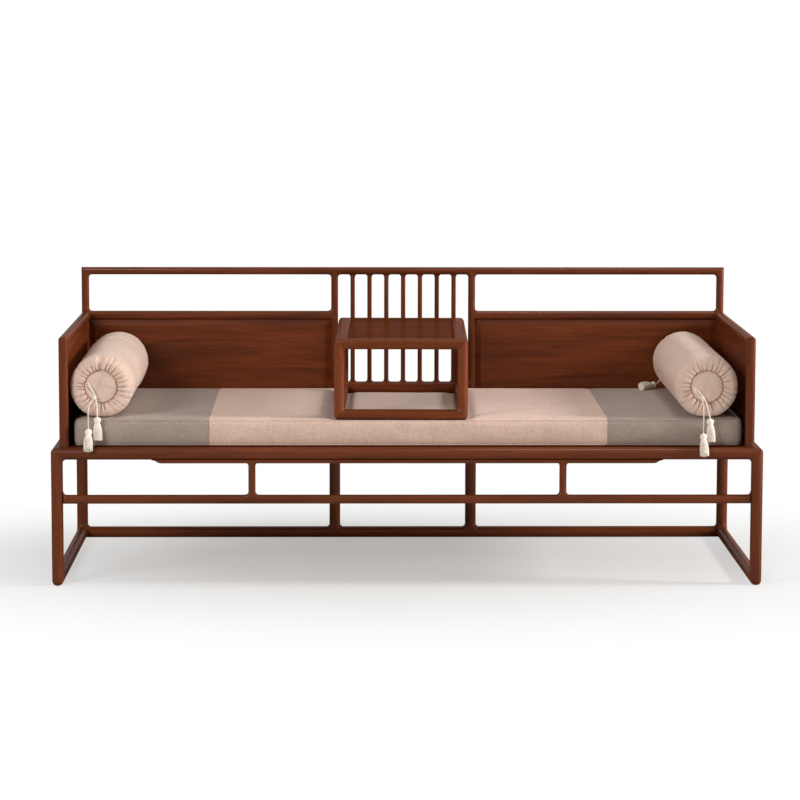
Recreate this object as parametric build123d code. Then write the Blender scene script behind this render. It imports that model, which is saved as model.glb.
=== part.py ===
"""Luohan daybed with kang table, seat cushion and two drawstring bolsters.

Millimetres, +Z up, +X along the seat, +Y towards the back screen.
The origin is on the floor, under the middle of the wooden frame.

Every plane of the woodwork is shaped as one softened panel frame and then divided at its
mitres, so neighbouring members flow into each other the way hand-finished joints do:
leg and rails meet in three-way mitres, and posts meet rails in pointed shoulders.
"""
from build123d import *
import math
import os

os.makedirs("parts", exist_ok=True)

# ---------------------------------------------------------------- driving dimensions
LENGTH = 2000.0            # over the legs, along X
DEPTH = 850.0              # over the legs, along Y
HEIGHT = 834.0             # floor to the top of the back screen

LEG = 33.0                 # square section of legs, floor runners and the show face of the seat rails
SEAT_TOP = 389.0           # top of the wooden seat frame
SEAT_RAIL_WIDTH = 72.0     # seat rails, measured on the flat
BASE_EDGE = 10.0           # softened long edges of the base members
BASE_COVE = 10.0           # hollow corners of the base openings

STRETCHER_LOW = 231.0
STRETCHER_TOP = 256.0
GRID_THICKNESS = 22.0      # stretcher, struts and apron, centred on the legs
STRUT_WIDTH = 20.0
STRUT_X = 437.0            # centre line of the two front struts
APRON_DROP = 9.5
APRON_HALF = 718.0         # half length of the apron where its curved ends run out
APRON_CURVE = 28.0         # length of each curved end

SCREEN_INSET = 23.0        # screens stand back from the seat edge
SCREEN_THICKNESS = 26.0
SCREEN_EDGE = 6.5
END_POST = 22.0
MID_POST = 21.0
MID_POST_X = 208.5         # centre line of the middle posts and of the rear middle legs
TOP_RAIL = 22.0
PANEL_RAIL_TOP = 700.5     # top of the panel rails and of the arms
PANEL_RAIL = 26.0
BOTTOM_RAIL = 36.0         # plain rails behind the cushion
BOTTOM_RAIL_THICKNESS = 22.0
LATTICE_LOW = 484.0        # top of the lattice bottom rail
LATTICE_RAIL = 24.0
UPPER_COVE = 10.0
PANEL_COVE = 3.0
SPINDLES = 7
SPINDLE_WIDTH = 13.5
SPINDLE_THICKNESS = 14.0
SPINDLE_COVE = 9.0
SPINDLE_EDGE = 4.5
SKIRT_THICKNESS = 12.0

TONGUE = 6.0               # thickness of panel tongues and of the grooves they run in
TONGUE_REACH = 7.0
GROOVE_DEPTH = 8.0
FIELD_BORDER = 18.0        # sloping border round the raised field
FIELD_SLOPE = 3.0
FIELD_STEP = 1.5

BOARDS = 5
BOARD_THICKNESS = 12.0
BOARD_GAP = 1.2
BOARD_REBATE = 10.0
BEARER_XS = (-480.0, 0.0, 480.0)
BEARER_WIDTH = 40.0

TENON = 10.0               # thickness of most tenons
SEAT_TENON_DEPTH = 20.0

CUSHION_LENGTH = 1882.0
CUSHION_FRONT = -386.0
CUSHION_REAR = 360.0
CUSHION_HEIGHT = 81.0
CUSHION_LIFT = 0.2         # clearance between the cushion and the wood under it
CUSHION_TOP_EDGE = 17.0
CUSHION_LOW_EDGE = 9.0

TABLE_LENGTH = 377.0       # along X
TABLE_DEPTH = 660.0        # along Y
TABLE_HEIGHT = 228.0
TABLE_X = -12.7            # the table stands a little left of the middle
TABLE_TURN = -1.0          # and is turned by this many degrees on the cushion
TABLE_FRONT = -378.0
TABLE_MEMBER = 29.0
TABLE_EDGE = 8.0
TABLE_COVE = 4.0
TABLE_TOP_FRAME = 37.0
TABLE_PANEL_DROP = 2.5
TABLE_SINK = 7.0           # the table frame presses this far into the cushion
IMPRINT_GAP = 0.6

BOLSTER_RADIUS = 87.0
BOLSTER_LENGTH = 696.0
BOLSTER_FRONT = -378.0
BOLSTER_XS = {"left": -860.0, "right": 844.0}
BOLSTER_CLEAR = 0.6        # clearance over the cushion
BOLSTER_DISC = 45.0        # radius of the flat disc in each gathered end
BOLSTER_SEAM = 4.0         # depth of the gathered seam round the disc
BOLSTER_CROWN = 66.0       # radius where the gathered end stands furthest out
BOLSTER_SHOULDER = 21.0

CORD = 3.6                 # diameter of the drawstrings
KNOT = 12.0
TASSEL_LENGTH = 66.0
TASSEL_HEAD = 8.0          # radius of the bound head
TASSEL_NECK = 4.6
TASSEL_SKIRT = 10.0        # radius at the cut end

# ---------------------------------------------------------------- derived places
HALF_X = LENGTH / 2
HALF_Y = DEPTH / 2
SEAT_LOW = SEAT_TOP - LEG
GRID_FRONT = -HALF_Y + (LEG - GRID_THICKNESS) / 2
GRID_REAR = GRID_FRONT + GRID_THICKNESS
APRON_LOW = SEAT_LOW - APRON_DROP
LEG_MID = LEG / 2
SCREEN_X = HALF_X - SCREEN_INSET
SCREEN_REAR = HALF_Y - SCREEN_INSET
SCREEN_FRONT = SCREEN_REAR - SCREEN_THICKNESS
SCREEN_MID = (SCREEN_FRONT + SCREEN_REAR) / 2
END_INNER = SCREEN_X - END_POST
MID_OUTER = MID_POST_X + MID_POST / 2
MID_INNER = MID_POST_X - MID_POST / 2
TOP_RAIL_LOW = HEIGHT - TOP_RAIL
PANEL_RAIL_LOW = PANEL_RAIL_TOP - PANEL_RAIL
BOTTOM_RAIL_TOP = SEAT_TOP + BOTTOM_RAIL
LATTICE_RAIL_LOW = LATTICE_LOW - LATTICE_RAIL
ARM_FRONT = -HALF_Y + SCREEN_INSET
ARM_POST_REAR = ARM_FRONT + SCREEN_THICKNESS
ARM_INNER = SCREEN_X - SCREEN_THICKNESS
ARM_MID = SCREEN_X - SCREEN_THICKNESS / 2
DECK_X = HALF_X - SEAT_RAIL_WIDTH + BOARD_REBATE
DECK_Y = HALF_Y - SEAT_RAIL_WIDTH + BOARD_REBATE
DECK_LOW = SEAT_TOP - BOARD_THICKNESS
CUSHION_LOW = SEAT_TOP + CUSHION_LIFT
CUSHION_TOP = CUSHION_LOW + CUSHION_HEIGHT
TABLE_LOW = CUSHION_TOP - TABLE_SINK
TABLE_TOP = TABLE_LOW + TABLE_HEIGHT
TABLE_X0 = TABLE_X - TABLE_LENGTH / 2
TABLE_X1 = TABLE_X + TABLE_LENGTH / 2
TABLE_REAR = TABLE_FRONT + TABLE_DEPTH
BOLSTER_Z = CUSHION_TOP + BOLSTER_CLEAR + BOLSTER_RADIUS
BOLSTER_REAR = BOLSTER_FRONT + BOLSTER_LENGTH
FAR = 3000.0               # reach of the cutting prisms
EASE = 0.3                 # mitre lines run this much off the exact diagonal


# ---------------------------------------------------------------- shaping helpers
def upright(sketch, y0, y1):
    """A sketch drawn in X and Z, thickened from y0 to y1."""
    plane = Plane(origin=(0, y0, 0), x_dir=(1, 0, 0), z_dir=(0, -1, 0))
    return extrude(plane * sketch, amount=y1 - y0, dir=(0, 1, 0))


def across(sketch, x0, x1):
    """A sketch drawn in Y and Z, thickened from x0 to x1."""
    plane = Plane(origin=(x0, 0, 0), x_dir=(0, 1, 0), z_dir=(1, 0, 0))
    return extrude(plane * sketch, amount=x1 - x0, dir=(1, 0, 0))


def level(sketch, z0, z1):
    """A sketch drawn in X and Y, thickened from z0 to z1."""
    return extrude(Pos(0, 0, z0) * sketch, amount=z1 - z0, dir=(0, 0, 1))


def rect(u0, v0, u1, v1):
    return Pos((u0 + u1) / 2, (v0 + v1) / 2) * Rectangle(abs(u1 - u0), abs(v1 - v0))


def window(u0, v0, u1, v1, radius):
    return Pos((u0 + u1) / 2, (v0 + v1) / 2) * RectangleRounded(u1 - u0, v1 - v0, radius)


def block(x0, x1, y0, y1, z0, z1):
    return Pos((x0 + x1) / 2, (y0 + y1) / 2, (z0 + z1) / 2) * Box(x1 - x0, y1 - y0, z1 - z0)


def outline(*points):
    return Polygon(*points, align=None)


def mitred_bar(u0, u1, v_out, v_in, ease=EASE):
    """Outline of a bar whose outer edge lies at v_out and whose ends are cut on the mitre."""
    back = abs(v_in - v_out)
    shift = math.copysign(ease, v_in - v_out)
    corners = [(u0, v_out), (u1, v_out), (u1 - back, v_in + shift), (u0 + back, v_in + shift)]
    if ease:
        corners[2:2] = [(u1, v_out + shift)]
        corners += [(u0, v_out + shift)]
    return outline(*corners)


def pointed_upright(centre, width, v0, v1, cove, points):
    """Outline of an upright; points names the ends that end in a 45 degree point."""
    reach = width / 2 + cove
    corners = []
    if "low" in points:
        shoulder = v0 + cove - EASE
        corners += [(centre - reach, shoulder), (centre, v0 - width / 2), (centre + reach, shoulder)]
    else:
        corners += [(centre - reach, v0), (centre + reach, v0)]
    if "top" in points:
        shoulder = v1 - cove + EASE
        corners += [(centre + reach, shoulder), (centre, v1 + width / 2), (centre - reach, shoulder)]
    else:
        corners += [(centre + reach, v1), (centre - reach, v1)]
    return outline(*corners)


def pointed_rail(u0, u1, v0, v1, low, top):
    """Outline of a rail whose ends run to 45 degree points; low and top are the coves beside it."""
    half = (v1 - v0) / 2
    middle = (v0 + v1) / 2
    return outline(
        (u0 - half, middle), (u0 + top - EASE, v1 + top), (u1 - top + EASE, v1 + top),
        (u1 + half, middle), (u1 - low + EASE, v0 - low), (u0 + low - EASE, v0 - low),
    )


def soften(slab, axis, radius, faces=(0, -1)):
    """Round every edge of the broad faces of a slab that lie square to an axis."""
    broad = slab.faces().filter_by(axis).sort_by(axis)
    return fillet([edge for i in faces for edge in broad[i].edges()], radius)


def one(shape):
    """The single solid of a finished piece; stops when cutting has left loose bits."""
    solids = shape.solids()
    if len(solids) != 1:
        raise ValueError(f"expected one solid, found {[round(s.volume, 1) for s in solids]}")
    return solids[0]


def mirrored(shape):
    return mirror(shape, about=Plane.YZ)


pieces = {}


def keep(name, *solids):
    pieces[name] = solids[0] if len(solids) == 1 else Compound(children=list(solids))


# ---------------------------------------------------------------- base: legs, rails and runners
MITRE = LEG + BASE_COVE    # how far a mitre line runs in from the outer corner


def base_front(faces=(0, -1)):
    openings = window(-HALF_X + LEG, -FAR / 10, HALF_X - LEG, SEAT_LOW, BASE_COVE)
    slab = upright(rect(-HALF_X, 0, HALF_X, SEAT_TOP) - openings, -HALF_Y, -HALF_Y + LEG)
    return soften(slab, Axis.Y, BASE_EDGE, faces)


def base_rear(faces=(0, -1)):
    inner = MID_POST_X - LEG / 2
    outer = MID_POST_X + LEG / 2
    sketch = rect(-HALF_X, 0, HALF_X, SEAT_TOP)
    sketch -= window(-HALF_X + LEG, LEG, -outer, SEAT_LOW, BASE_COVE)
    sketch -= window(-inner, LEG, inner, SEAT_LOW, BASE_COVE)
    sketch -= window(outer, LEG, HALF_X - LEG, SEAT_LOW, BASE_COVE)
    return soften(upright(sketch, HALF_Y - LEG, HALF_Y), Axis.Y, BASE_EDGE, faces)


def base_side(faces=(0, -1)):
    opening = window(-HALF_Y + LEG, LEG, HALF_Y - LEG, SEAT_LOW, BASE_COVE)
    slab = across(rect(-HALF_Y, 0, HALF_Y, SEAT_TOP) - opening, -HALF_X, -HALF_X + LEG)
    return soften(slab, Axis.X, BASE_EDGE, faces)


def mitre_share(out, step, low):
    """A corner leg's part of one frame: mitred at the top, and at the floor where low is set."""
    rise = EASE if low else 0
    return outline((out, rise), (out + step, low + rise), (out + step, SEAT_TOP - MITRE - EASE),
                   (out, SEAT_TOP - EASE))


def corner_tenon(sign):
    """Square tenon on the head of a left corner leg, inside both seat rails."""
    x, y = -HALF_X + 20, sign * (HALF_Y - 20)
    return block(x - 6, x + 6, y - 6, y + 6, SEAT_LOW - 6, SEAT_TOP - 9)


def corner_leg(broad, side, sign):
    """A left corner leg: the two frames that pass through it meet on its diagonal."""
    low = 0 if sign < 0 else MITRE
    y_out = sign * HALF_Y
    reach = -sign * 60
    share = upright(mitre_share(-HALF_X, MITRE, low), -FAR, FAR)
    share &= across(mitre_share(y_out, -sign * MITRE, MITRE), -FAR, FAR)
    near_broad = level(outline((-HALF_X, y_out), (-HALF_X + 60, y_out), (-HALF_X + 60, y_out + reach)),
                       -1, HEIGHT)
    near_side = level(outline((-HALF_X, y_out), (-HALF_X, y_out + reach), (-HALF_X + 60, y_out + reach)),
                      -1, HEIGHT)
    leg = (broad & share & near_broad) + (side & share & near_side)
    return one(leg + corner_tenon(sign))


front_frame = base_front()
rear_frame = base_rear()
side_frame = base_side()

legs = {"front_left": corner_leg(front_frame, side_frame, -1),
        "rear_left": corner_leg(rear_frame, side_frame, 1)}
legs["front_right"] = mirrored(legs["front_left"])
legs["rear_right"] = mirrored(legs["rear_left"])


def middle_share(x):
    return upright(pointed_upright(x, LEG, LEG, SEAT_LOW, BASE_COVE, ("low", "top")),
                   HALF_Y - LEG, HALF_Y)


def middle_tenons(x):
    y_mid = HALF_Y - LEG / 2
    return [block(x - 9, x + 9, y_mid - TENON / 2, y_mid + TENON / 2, z0, z1)
            for z0, z1 in ((SEAT_LOW, SEAT_TOP - 8), (8, LEG))]


def middle_leg(x):
    shape = rear_frame & middle_share(x)
    for tenon in middle_tenons(x):
        shape += tenon
    return one(shape)


middle_legs = {"left": middle_leg(-MID_POST_X), "right": middle_leg(MID_POST_X)}

plan_front = mitred_bar(-HALF_X, HALF_X, -HALF_Y, -HALF_Y + SEAT_RAIL_WIDTH, 0)
plan_rear = mitred_bar(-HALF_X, HALF_X, HALF_Y, HALF_Y - SEAT_RAIL_WIDTH, 0)
plan_left = outline(
    (-HALF_X, -HALF_Y), (-HALF_X + SEAT_RAIL_WIDTH, -HALF_Y + SEAT_RAIL_WIDTH),
    (-HALF_X + SEAT_RAIL_WIDTH, HALF_Y - SEAT_RAIL_WIDTH), (-HALF_X, HALF_Y))
deck_bed = block(-DECK_X, DECK_X, -DECK_Y, DECK_Y, DECK_LOW, SEAT_TOP + 1)


def long_seat_rail(frame, sign):
    """Front or rear seat rail: the rounded show edge and the flat that carries the deck."""
    band = upright(mitred_bar(-HALF_X, HALF_X, SEAT_TOP, SEAT_TOP - MITRE), -FAR, FAR)
    near = sign * (HALF_Y - LEG / 2)
    far = sign * (HALF_Y - SEAT_RAIL_WIDTH)
    flat = block(-HALF_X, HALF_X, min(near, far), max(near, far), SEAT_LOW, SEAT_TOP)
    plan = level(plan_front if sign < 0 else plan_rear, -FAR, FAR)
    return ((frame & band) + (flat & band)) & plan


def side_seat_rail():
    band = across(mitred_bar(-HALF_Y, HALF_Y, SEAT_TOP, SEAT_TOP - MITRE), -FAR, FAR)
    flat = block(-HALF_X + LEG / 2, -HALF_X + SEAT_RAIL_WIDTH, -HALF_Y, HALF_Y, SEAT_LOW, SEAT_TOP)
    return ((base_side((0,)) & band) + (flat & band)) & level(plan_left, -FAR, FAR)


def side_runner():
    """Floor runner between the two left legs; at the rear it joins the rear runner as well."""
    band = across(mitred_bar(-HALF_Y, HALF_Y, 0, MITRE), -FAR, FAR)
    plan = outline((-HALF_X, -HALF_Y), (-HALF_X + MITRE, -HALF_Y),
                   (-HALF_X + MITRE, HALF_Y - MITRE), (-HALF_X, HALF_Y))
    return one(side_frame & band & level(plan, -FAR, FAR))


def rear_runner():
    band = upright(mitred_bar(-HALF_X, HALF_X, 0, MITRE), -FAR, FAR)
    plan = mitred_bar(-HALF_X, HALF_X, HALF_Y, HALF_Y - MITRE, 0)
    return rear_frame & band & level(plan, -FAR, FAR)


# ---------------------------------------------------------------- front grid: stretcher, struts, apron
def front_grid():
    """Stretcher and struts as one softened slab with hollow-cornered windows."""
    inner = HALF_X - LEG
    side = STRUT_X + STRUT_WIDTH / 2
    middle = STRUT_X - STRUT_WIDTH / 2
    head = APRON_LOW + 0.8
    sketch = rect(-inner, STRETCHER_LOW, inner, SEAT_TOP)
    sketch -= window(-middle, STRETCHER_TOP, middle, head, BASE_COVE)
    for sign in (-1, 1):
        u0, u1 = sorted((sign * inner, sign * side))
        sketch -= window(u0, STRETCHER_TOP, u1, head, BASE_COVE)
    return soften(upright(sketch, GRID_FRONT, GRID_REAR), Axis.Y, 5.5)


grid = front_grid()
grid_mid = (GRID_FRONT + GRID_REAR) / 2


def strut_share(x):
    return upright(pointed_upright(x, STRUT_WIDTH, STRETCHER_TOP, APRON_LOW, BASE_COVE, ("low",)),
                   GRID_FRONT, GRID_REAR)


def strut_tenons(x):
    return [block(x - 6, x + 6, grid_mid - 4, grid_mid + 4, z0, z1)
            for z0, z1 in ((APRON_LOW - 2, SEAT_LOW + 15), (STRETCHER_LOW + 6, STRETCHER_TOP + 2))]


def front_strut(x):
    shape = grid & strut_share(x)
    for tenon in strut_tenons(x):
        shape += tenon
    return one(shape)


def stretcher_tenon(sign):
    inner = HALF_X - LEG
    middle = (STRETCHER_LOW + STRETCHER_TOP) / 2
    x0, x1 = sorted((sign * (inner - 2), sign * (inner + 18)))
    return block(x0, x1, grid_mid - 4, grid_mid + 4, middle - 8, middle + 8)


def front_stretcher():
    inner = HALF_X - LEG
    shape = grid & upright(rect(-inner, STRETCHER_LOW, inner, STRETCHER_TOP + BASE_COVE), -FAR, FAR)
    for x in (-STRUT_X, STRUT_X):
        shape -= strut_share(x)
        for tenon in strut_tenons(x):
            shape -= tenon
    for sign in (-1, 1):
        shape += stretcher_tenon(sign)
    return one(shape)


def front_apron():
    """Shallow apron under the front rail; each end runs out in a drawn-out double curve."""
    lip = 0.8
    long = APRON_HALF
    short = APRON_HALF - APRON_CURVE
    bend = APRON_CURVE / 2
    top = SEAT_LOW
    edges = [
        Line((-long, top), (long, top)),
        Line((long, top), (long, top - lip)),
        Bezier((long, top - lip), (long - bend, top - lip), (short + bend, APRON_LOW), (short, APRON_LOW)),
        Line((short, APRON_LOW), (-short, APRON_LOW)),
        Bezier((-short, APRON_LOW), (-short - bend, APRON_LOW), (-long + bend, top - lip), (-long, top - lip)),
        Line((-long, top - lip), (-long, top)),
    ]
    shape = upright(make_face(Curve() + edges), GRID_FRONT, GRID_REAR)
    for x in (-STRUT_X, STRUT_X):
        for tenon in strut_tenons(x):
            shape -= tenon
    return one(shape)


struts = [front_strut(-STRUT_X), front_strut(STRUT_X)]
stretcher = front_stretcher()
legs["front_left"] = one(legs["front_left"] - stretcher_tenon(-1))
legs["front_right"] = mirrored(legs["front_left"])

rail_front = long_seat_rail(base_front((0,)), -1)
rail_rear = long_seat_rail(base_rear((-1,)), 1)
rail_left = side_seat_rail()
runner_rear = rear_runner()
for x in (-MID_POST_X, MID_POST_X):
    rail_rear -= middle_share(x)
    runner_rear -= middle_share(x)
    for tenon in middle_tenons(x):
        rail_rear -= tenon
        runner_rear -= tenon
for x in (-STRUT_X, STRUT_X):
    for tenon in strut_tenons(x):
        rail_front -= tenon
rail_front = rail_front - corner_tenon(-1) - mirrored(corner_tenon(-1)) - deck_bed
rail_rear = rail_rear - corner_tenon(1) - mirrored(corner_tenon(1)) - deck_bed
rail_left = rail_left - corner_tenon(-1) - corner_tenon(1) - deck_bed


# ---------------------------------------------------------------- deck under the cushion
def deck_boards():
    pitch = (2 * DECK_Y + BOARD_GAP) / BOARDS
    boards = []
    for i in range(BOARDS):
        y0 = -DECK_Y + i * pitch
        boards.append(block(-DECK_X, DECK_X, y0, y0 + pitch - BOARD_GAP, DECK_LOW, SEAT_TOP))
    return boards


def bearer_tenon(x):
    inner = HALF_Y - SEAT_RAIL_WIDTH
    return block(x - 14, x + 14, -inner - 15, inner + 15, SEAT_LOW + 6, SEAT_LOW + 15)


def deck_bearers():
    inner = HALF_Y - SEAT_RAIL_WIDTH
    bearers = []
    for x in BEARER_XS:
        bar = block(x - BEARER_WIDTH / 2, x + BEARER_WIDTH / 2, -inner, inner, SEAT_LOW, DECK_LOW)
        bearers.append(one(bar + bearer_tenon(x)))
    return bearers


for x in BEARER_XS:
    rail_front -= bearer_tenon(x)
    rail_rear -= bearer_tenon(x)


# ---------------------------------------------------------------- panels
def fielded_panel(width, height):
    """Raised and fielded panel, drawn flat, its field towards +Z and its tongue on Z = 0."""
    body = Box(width + 2 * TONGUE_REACH, height + 2 * TONGUE_REACH, TONGUE)
    base = TONGUE / 2
    field = (width - 2 * FIELD_BORDER, height - 2 * FIELD_BORDER)
    slope = loft([Pos(0, 0, base) * Rectangle(width - 1.8, height - 1.8),
                  Pos(0, 0, base + FIELD_SLOPE) * Rectangle(*field)], ruled=True)
    top = base + FIELD_SLOPE + FIELD_STEP
    raised = Pos(0, 0, (base + top) / 2) * Box(*field, top - base)
    return one(body + slope + raised)


def groove(width, height):
    return Box(width + 2 * GROOVE_DEPTH, height + 2 * GROOVE_DEPTH, TONGUE)


# ---------------------------------------------------------------- back screen
def back_frame():
    low = SEAT_TOP - 30
    sketch = rect(-SCREEN_X, low, SCREEN_X, HEIGHT)
    for sign in (-1, 1):
        u0, u1 = sorted((sign * END_INNER, sign * MID_OUTER))
        sketch -= window(u0, PANEL_RAIL_TOP, u1, TOP_RAIL_LOW, UPPER_COVE)
        sketch -= window(u0, low - 40, u1, PANEL_RAIL_LOW, PANEL_COVE)
    sketch -= window(-MID_INNER, LATTICE_LOW, MID_INNER, TOP_RAIL_LOW, SPINDLE_COVE)
    sketch -= window(-MID_INNER, low - 40, MID_INNER, LATTICE_RAIL_LOW, PANEL_COVE)
    return soften(upright(sketch, SCREEN_FRONT, SCREEN_REAR), Axis.Y, SCREEN_EDGE)


back = back_frame()
bay_u0, bay_u1 = -END_INNER, -MID_OUTER
panel_width = bay_u1 - bay_u0
panel_height = PANEL_RAIL_LOW - BOTTOM_RAIL_TOP
panel_plane = Plane(origin=((bay_u0 + bay_u1) / 2, SCREEN_MID, (BOTTOM_RAIL_TOP + PANEL_RAIL_LOW) / 2),
                    x_dir=(1, 0, 0), z_dir=(0, -1, 0))
back_panel = panel_plane * fielded_panel(panel_width, panel_height)
panel_groove = panel_plane * groove(panel_width, panel_height)

panel_rail_share = upright(
    pointed_rail(bay_u0, bay_u1, PANEL_RAIL_LOW, PANEL_RAIL_TOP, PANEL_COVE, UPPER_COVE), -FAR, FAR)
lattice_rail_share = upright(
    pointed_rail(-MID_INNER, MID_INNER, LATTICE_RAIL_LOW, LATTICE_LOW, PANEL_COVE, SPINDLE_COVE),
    -FAR, FAR)


def tenon_between(x0, x1, z0, z1, y_mid=SCREEN_MID):
    return block(x0, x1, y_mid - TENON / 2, y_mid + TENON / 2, z0, z1)


# Tenons, each added to the member that carries it and cut out of the one that receives it.
panel_top_tenon = tenon_between(bay_u0 - 15, bay_u1 + 14, PANEL_RAIL_LOW + 9, PANEL_RAIL_TOP - 7)
panel_bottom_tenon = tenon_between(bay_u0 - 12, bay_u1 + 12, SEAT_TOP + 6, BOTTOM_RAIL_TOP - 10)
lattice_tenon = tenon_between(-MID_INNER - 9, MID_INNER + 9, LATTICE_RAIL_LOW + 9, LATTICE_LOW - 5)
mid_head_tenon = tenon_between(-MID_POST_X - 5, -MID_POST_X + 5, TOP_RAIL_LOW - 2, TOP_RAIL_LOW + 15)
end_head_tenon = tenon_between(-SCREEN_X + 8, -SCREEN_X + 14, TOP_RAIL_LOW - 2, HEIGHT - 16)


def seat_tenon(x0, x1, y0, y1):
    return block(x0, x1, y0, y1, SEAT_TOP - SEAT_TENON_DEPTH, SEAT_TOP + 2)


mid_seat_tenon = seat_tenon(-MID_POST_X - 6, -MID_POST_X + 6, SCREEN_MID - 9, SCREEN_MID + 2)
end_seat_tenon = seat_tenon(-SCREEN_X + 5, -END_INNER - 5, SCREEN_MID - 7, SCREEN_MID + 7)

panel_top_rail = (back & panel_rail_share) + panel_top_tenon - panel_groove
section = Pos(SCREEN_MID, (SEAT_TOP + BOTTOM_RAIL_TOP) / 2) * RectangleRounded(BOTTOM_RAIL_THICKNESS, BOTTOM_RAIL, 4)
panel_bottom_rail = across(section, bay_u0, bay_u1)
panel_bottom_rail = one(panel_bottom_rail + panel_bottom_tenon - panel_groove)

skirt_board = block(-MID_INNER + 3.5, MID_INNER - 3.5, SCREEN_MID - SKIRT_THICKNESS / 2,
                    SCREEN_MID + SKIRT_THICKNESS / 2, SEAT_TOP, LATTICE_RAIL_LOW)
skirt_board += block(-MID_INNER - TONGUE_REACH, MID_INNER + TONGUE_REACH, SCREEN_MID - TONGUE / 2,
                     SCREEN_MID + TONGUE / 2, SEAT_TOP, LATTICE_RAIL_LOW + TONGUE_REACH)
skirt_board = one(skirt_board)
skirt_groove = block(-MID_INNER - GROOVE_DEPTH, MID_INNER + GROOVE_DEPTH, SCREEN_MID - TONGUE / 2,
                     SCREEN_MID + TONGUE / 2, SEAT_TOP, LATTICE_RAIL_LOW + GROOVE_DEPTH)

# ---------------------------------------------------------------- lattice
spindle_pitch = (2 * MID_INNER + SPINDLE_WIDTH) / (SPINDLES + 1)
spindle_xs = [-MID_INNER + (i + 1) * spindle_pitch - SPINDLE_WIDTH / 2 for i in range(SPINDLES)]


def spindle_pins(x):
    return [Pos(x, SCREEN_MID, (z0 + z1) / 2) * Cylinder(4, z1 - z0)
            for z0, z1 in ((LATTICE_LOW - 9, LATTICE_LOW + 1), (TOP_RAIL_LOW - 1, TOP_RAIL_LOW + 9))]


def lattice_spindle():
    """One flared spindle at X = 0, cut from a slab with a hollow-cornered window on each side."""
    gap = spindle_pitch - SPINDLE_WIDTH
    lip = 0.6
    sketch = rect(-spindle_pitch, LATTICE_LOW - 20, spindle_pitch, TOP_RAIL_LOW + 20)
    for centre in (-spindle_pitch / 2, spindle_pitch / 2):
        sketch -= window(centre - gap / 2, LATTICE_LOW - lip, centre + gap / 2, TOP_RAIL_LOW + lip,
                         SPINDLE_COVE)
    slab = upright(sketch, SCREEN_MID - SPINDLE_THICKNESS / 2, SCREEN_MID + SPINDLE_THICKNESS / 2)
    inner_edges = [edge for edge in slab.faces().filter_by(Axis.Y).edges()
                   if abs(edge.center().X) < spindle_pitch - 1 and abs(edge.center().Z - 648) < 175]
    slab = fillet(inner_edges, SPINDLE_EDGE)
    reach = spindle_pitch / 2 - 5
    spindle = slab & block(-reach, reach, -FAR, FAR, LATTICE_LOW, TOP_RAIL_LOW)
    for pin in spindle_pins(0):
        spindle += pin
    return one(spindle)


spindle = lattice_spindle()
spindles = [Pos(x, 0, 0) * spindle for x in spindle_xs]

lattice_rail = (back & lattice_rail_share) + lattice_tenon - skirt_groove
top_corner = END_POST + UPPER_COVE
top_rail = back & upright(mitred_bar(-SCREEN_X, SCREEN_X, HEIGHT, HEIGHT - top_corner), -FAR, FAR)
for x in spindle_xs:
    low_pin, high_pin = spindle_pins(x)
    lattice_rail -= low_pin
    top_rail -= high_pin
lattice_rail = one(lattice_rail)

mid_post_share = upright(
    pointed_upright(-MID_POST_X, MID_POST, SEAT_TOP, TOP_RAIL_LOW, UPPER_COVE, ("top",)), -FAR, FAR)
for cutter in (mid_post_share, mid_head_tenon, end_head_tenon):
    top_rail = top_rail - cutter - mirrored(cutter)
top_rail = one(top_rail)

mid_post = (back & mid_post_share) + mid_seat_tenon + mid_head_tenon
for cutter in (panel_rail_share, lattice_rail_share, panel_groove, skirt_groove, panel_top_tenon,
               panel_bottom_tenon, lattice_tenon):
    mid_post -= cutter
mid_post = one(mid_post)

end_post_share = upright(
    outline((-SCREEN_X, SEAT_TOP), (-SCREEN_X + top_corner, SEAT_TOP),
            (-SCREEN_X + top_corner, HEIGHT - top_corner - EASE), (-SCREEN_X, HEIGHT - EASE)), -FAR, FAR)
end_post = (back & end_post_share) + end_seat_tenon + end_head_tenon
for cutter in (panel_rail_share, panel_groove, panel_top_tenon, panel_bottom_tenon):
    end_post -= cutter


# ---------------------------------------------------------------- arms
def arm_frame():
    opening = window(ARM_POST_REAR, SEAT_TOP - 60, SCREEN_REAR + 60, PANEL_RAIL_LOW, PANEL_COVE)
    sketch = rect(ARM_FRONT, SEAT_TOP - 30, SCREEN_REAR + 20, PANEL_RAIL_TOP) - opening
    return soften(across(sketch, -SCREEN_X, -ARM_INNER), Axis.X, SCREEN_EDGE)


arm = arm_frame()
arm_panel_width = SCREEN_FRONT - ARM_POST_REAR
arm_panel_plane = Plane(
    origin=(-ARM_MID, (ARM_POST_REAR + SCREEN_FRONT) / 2, (BOTTOM_RAIL_TOP + PANEL_RAIL_LOW) / 2),
    x_dir=(0, 1, 0), z_dir=(1, 0, 0))
arm_panel = arm_panel_plane * fielded_panel(arm_panel_width, panel_height)
arm_groove = arm_panel_plane * groove(arm_panel_width, panel_height)
arm_corner = SCREEN_THICKNESS + PANEL_COVE

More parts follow.
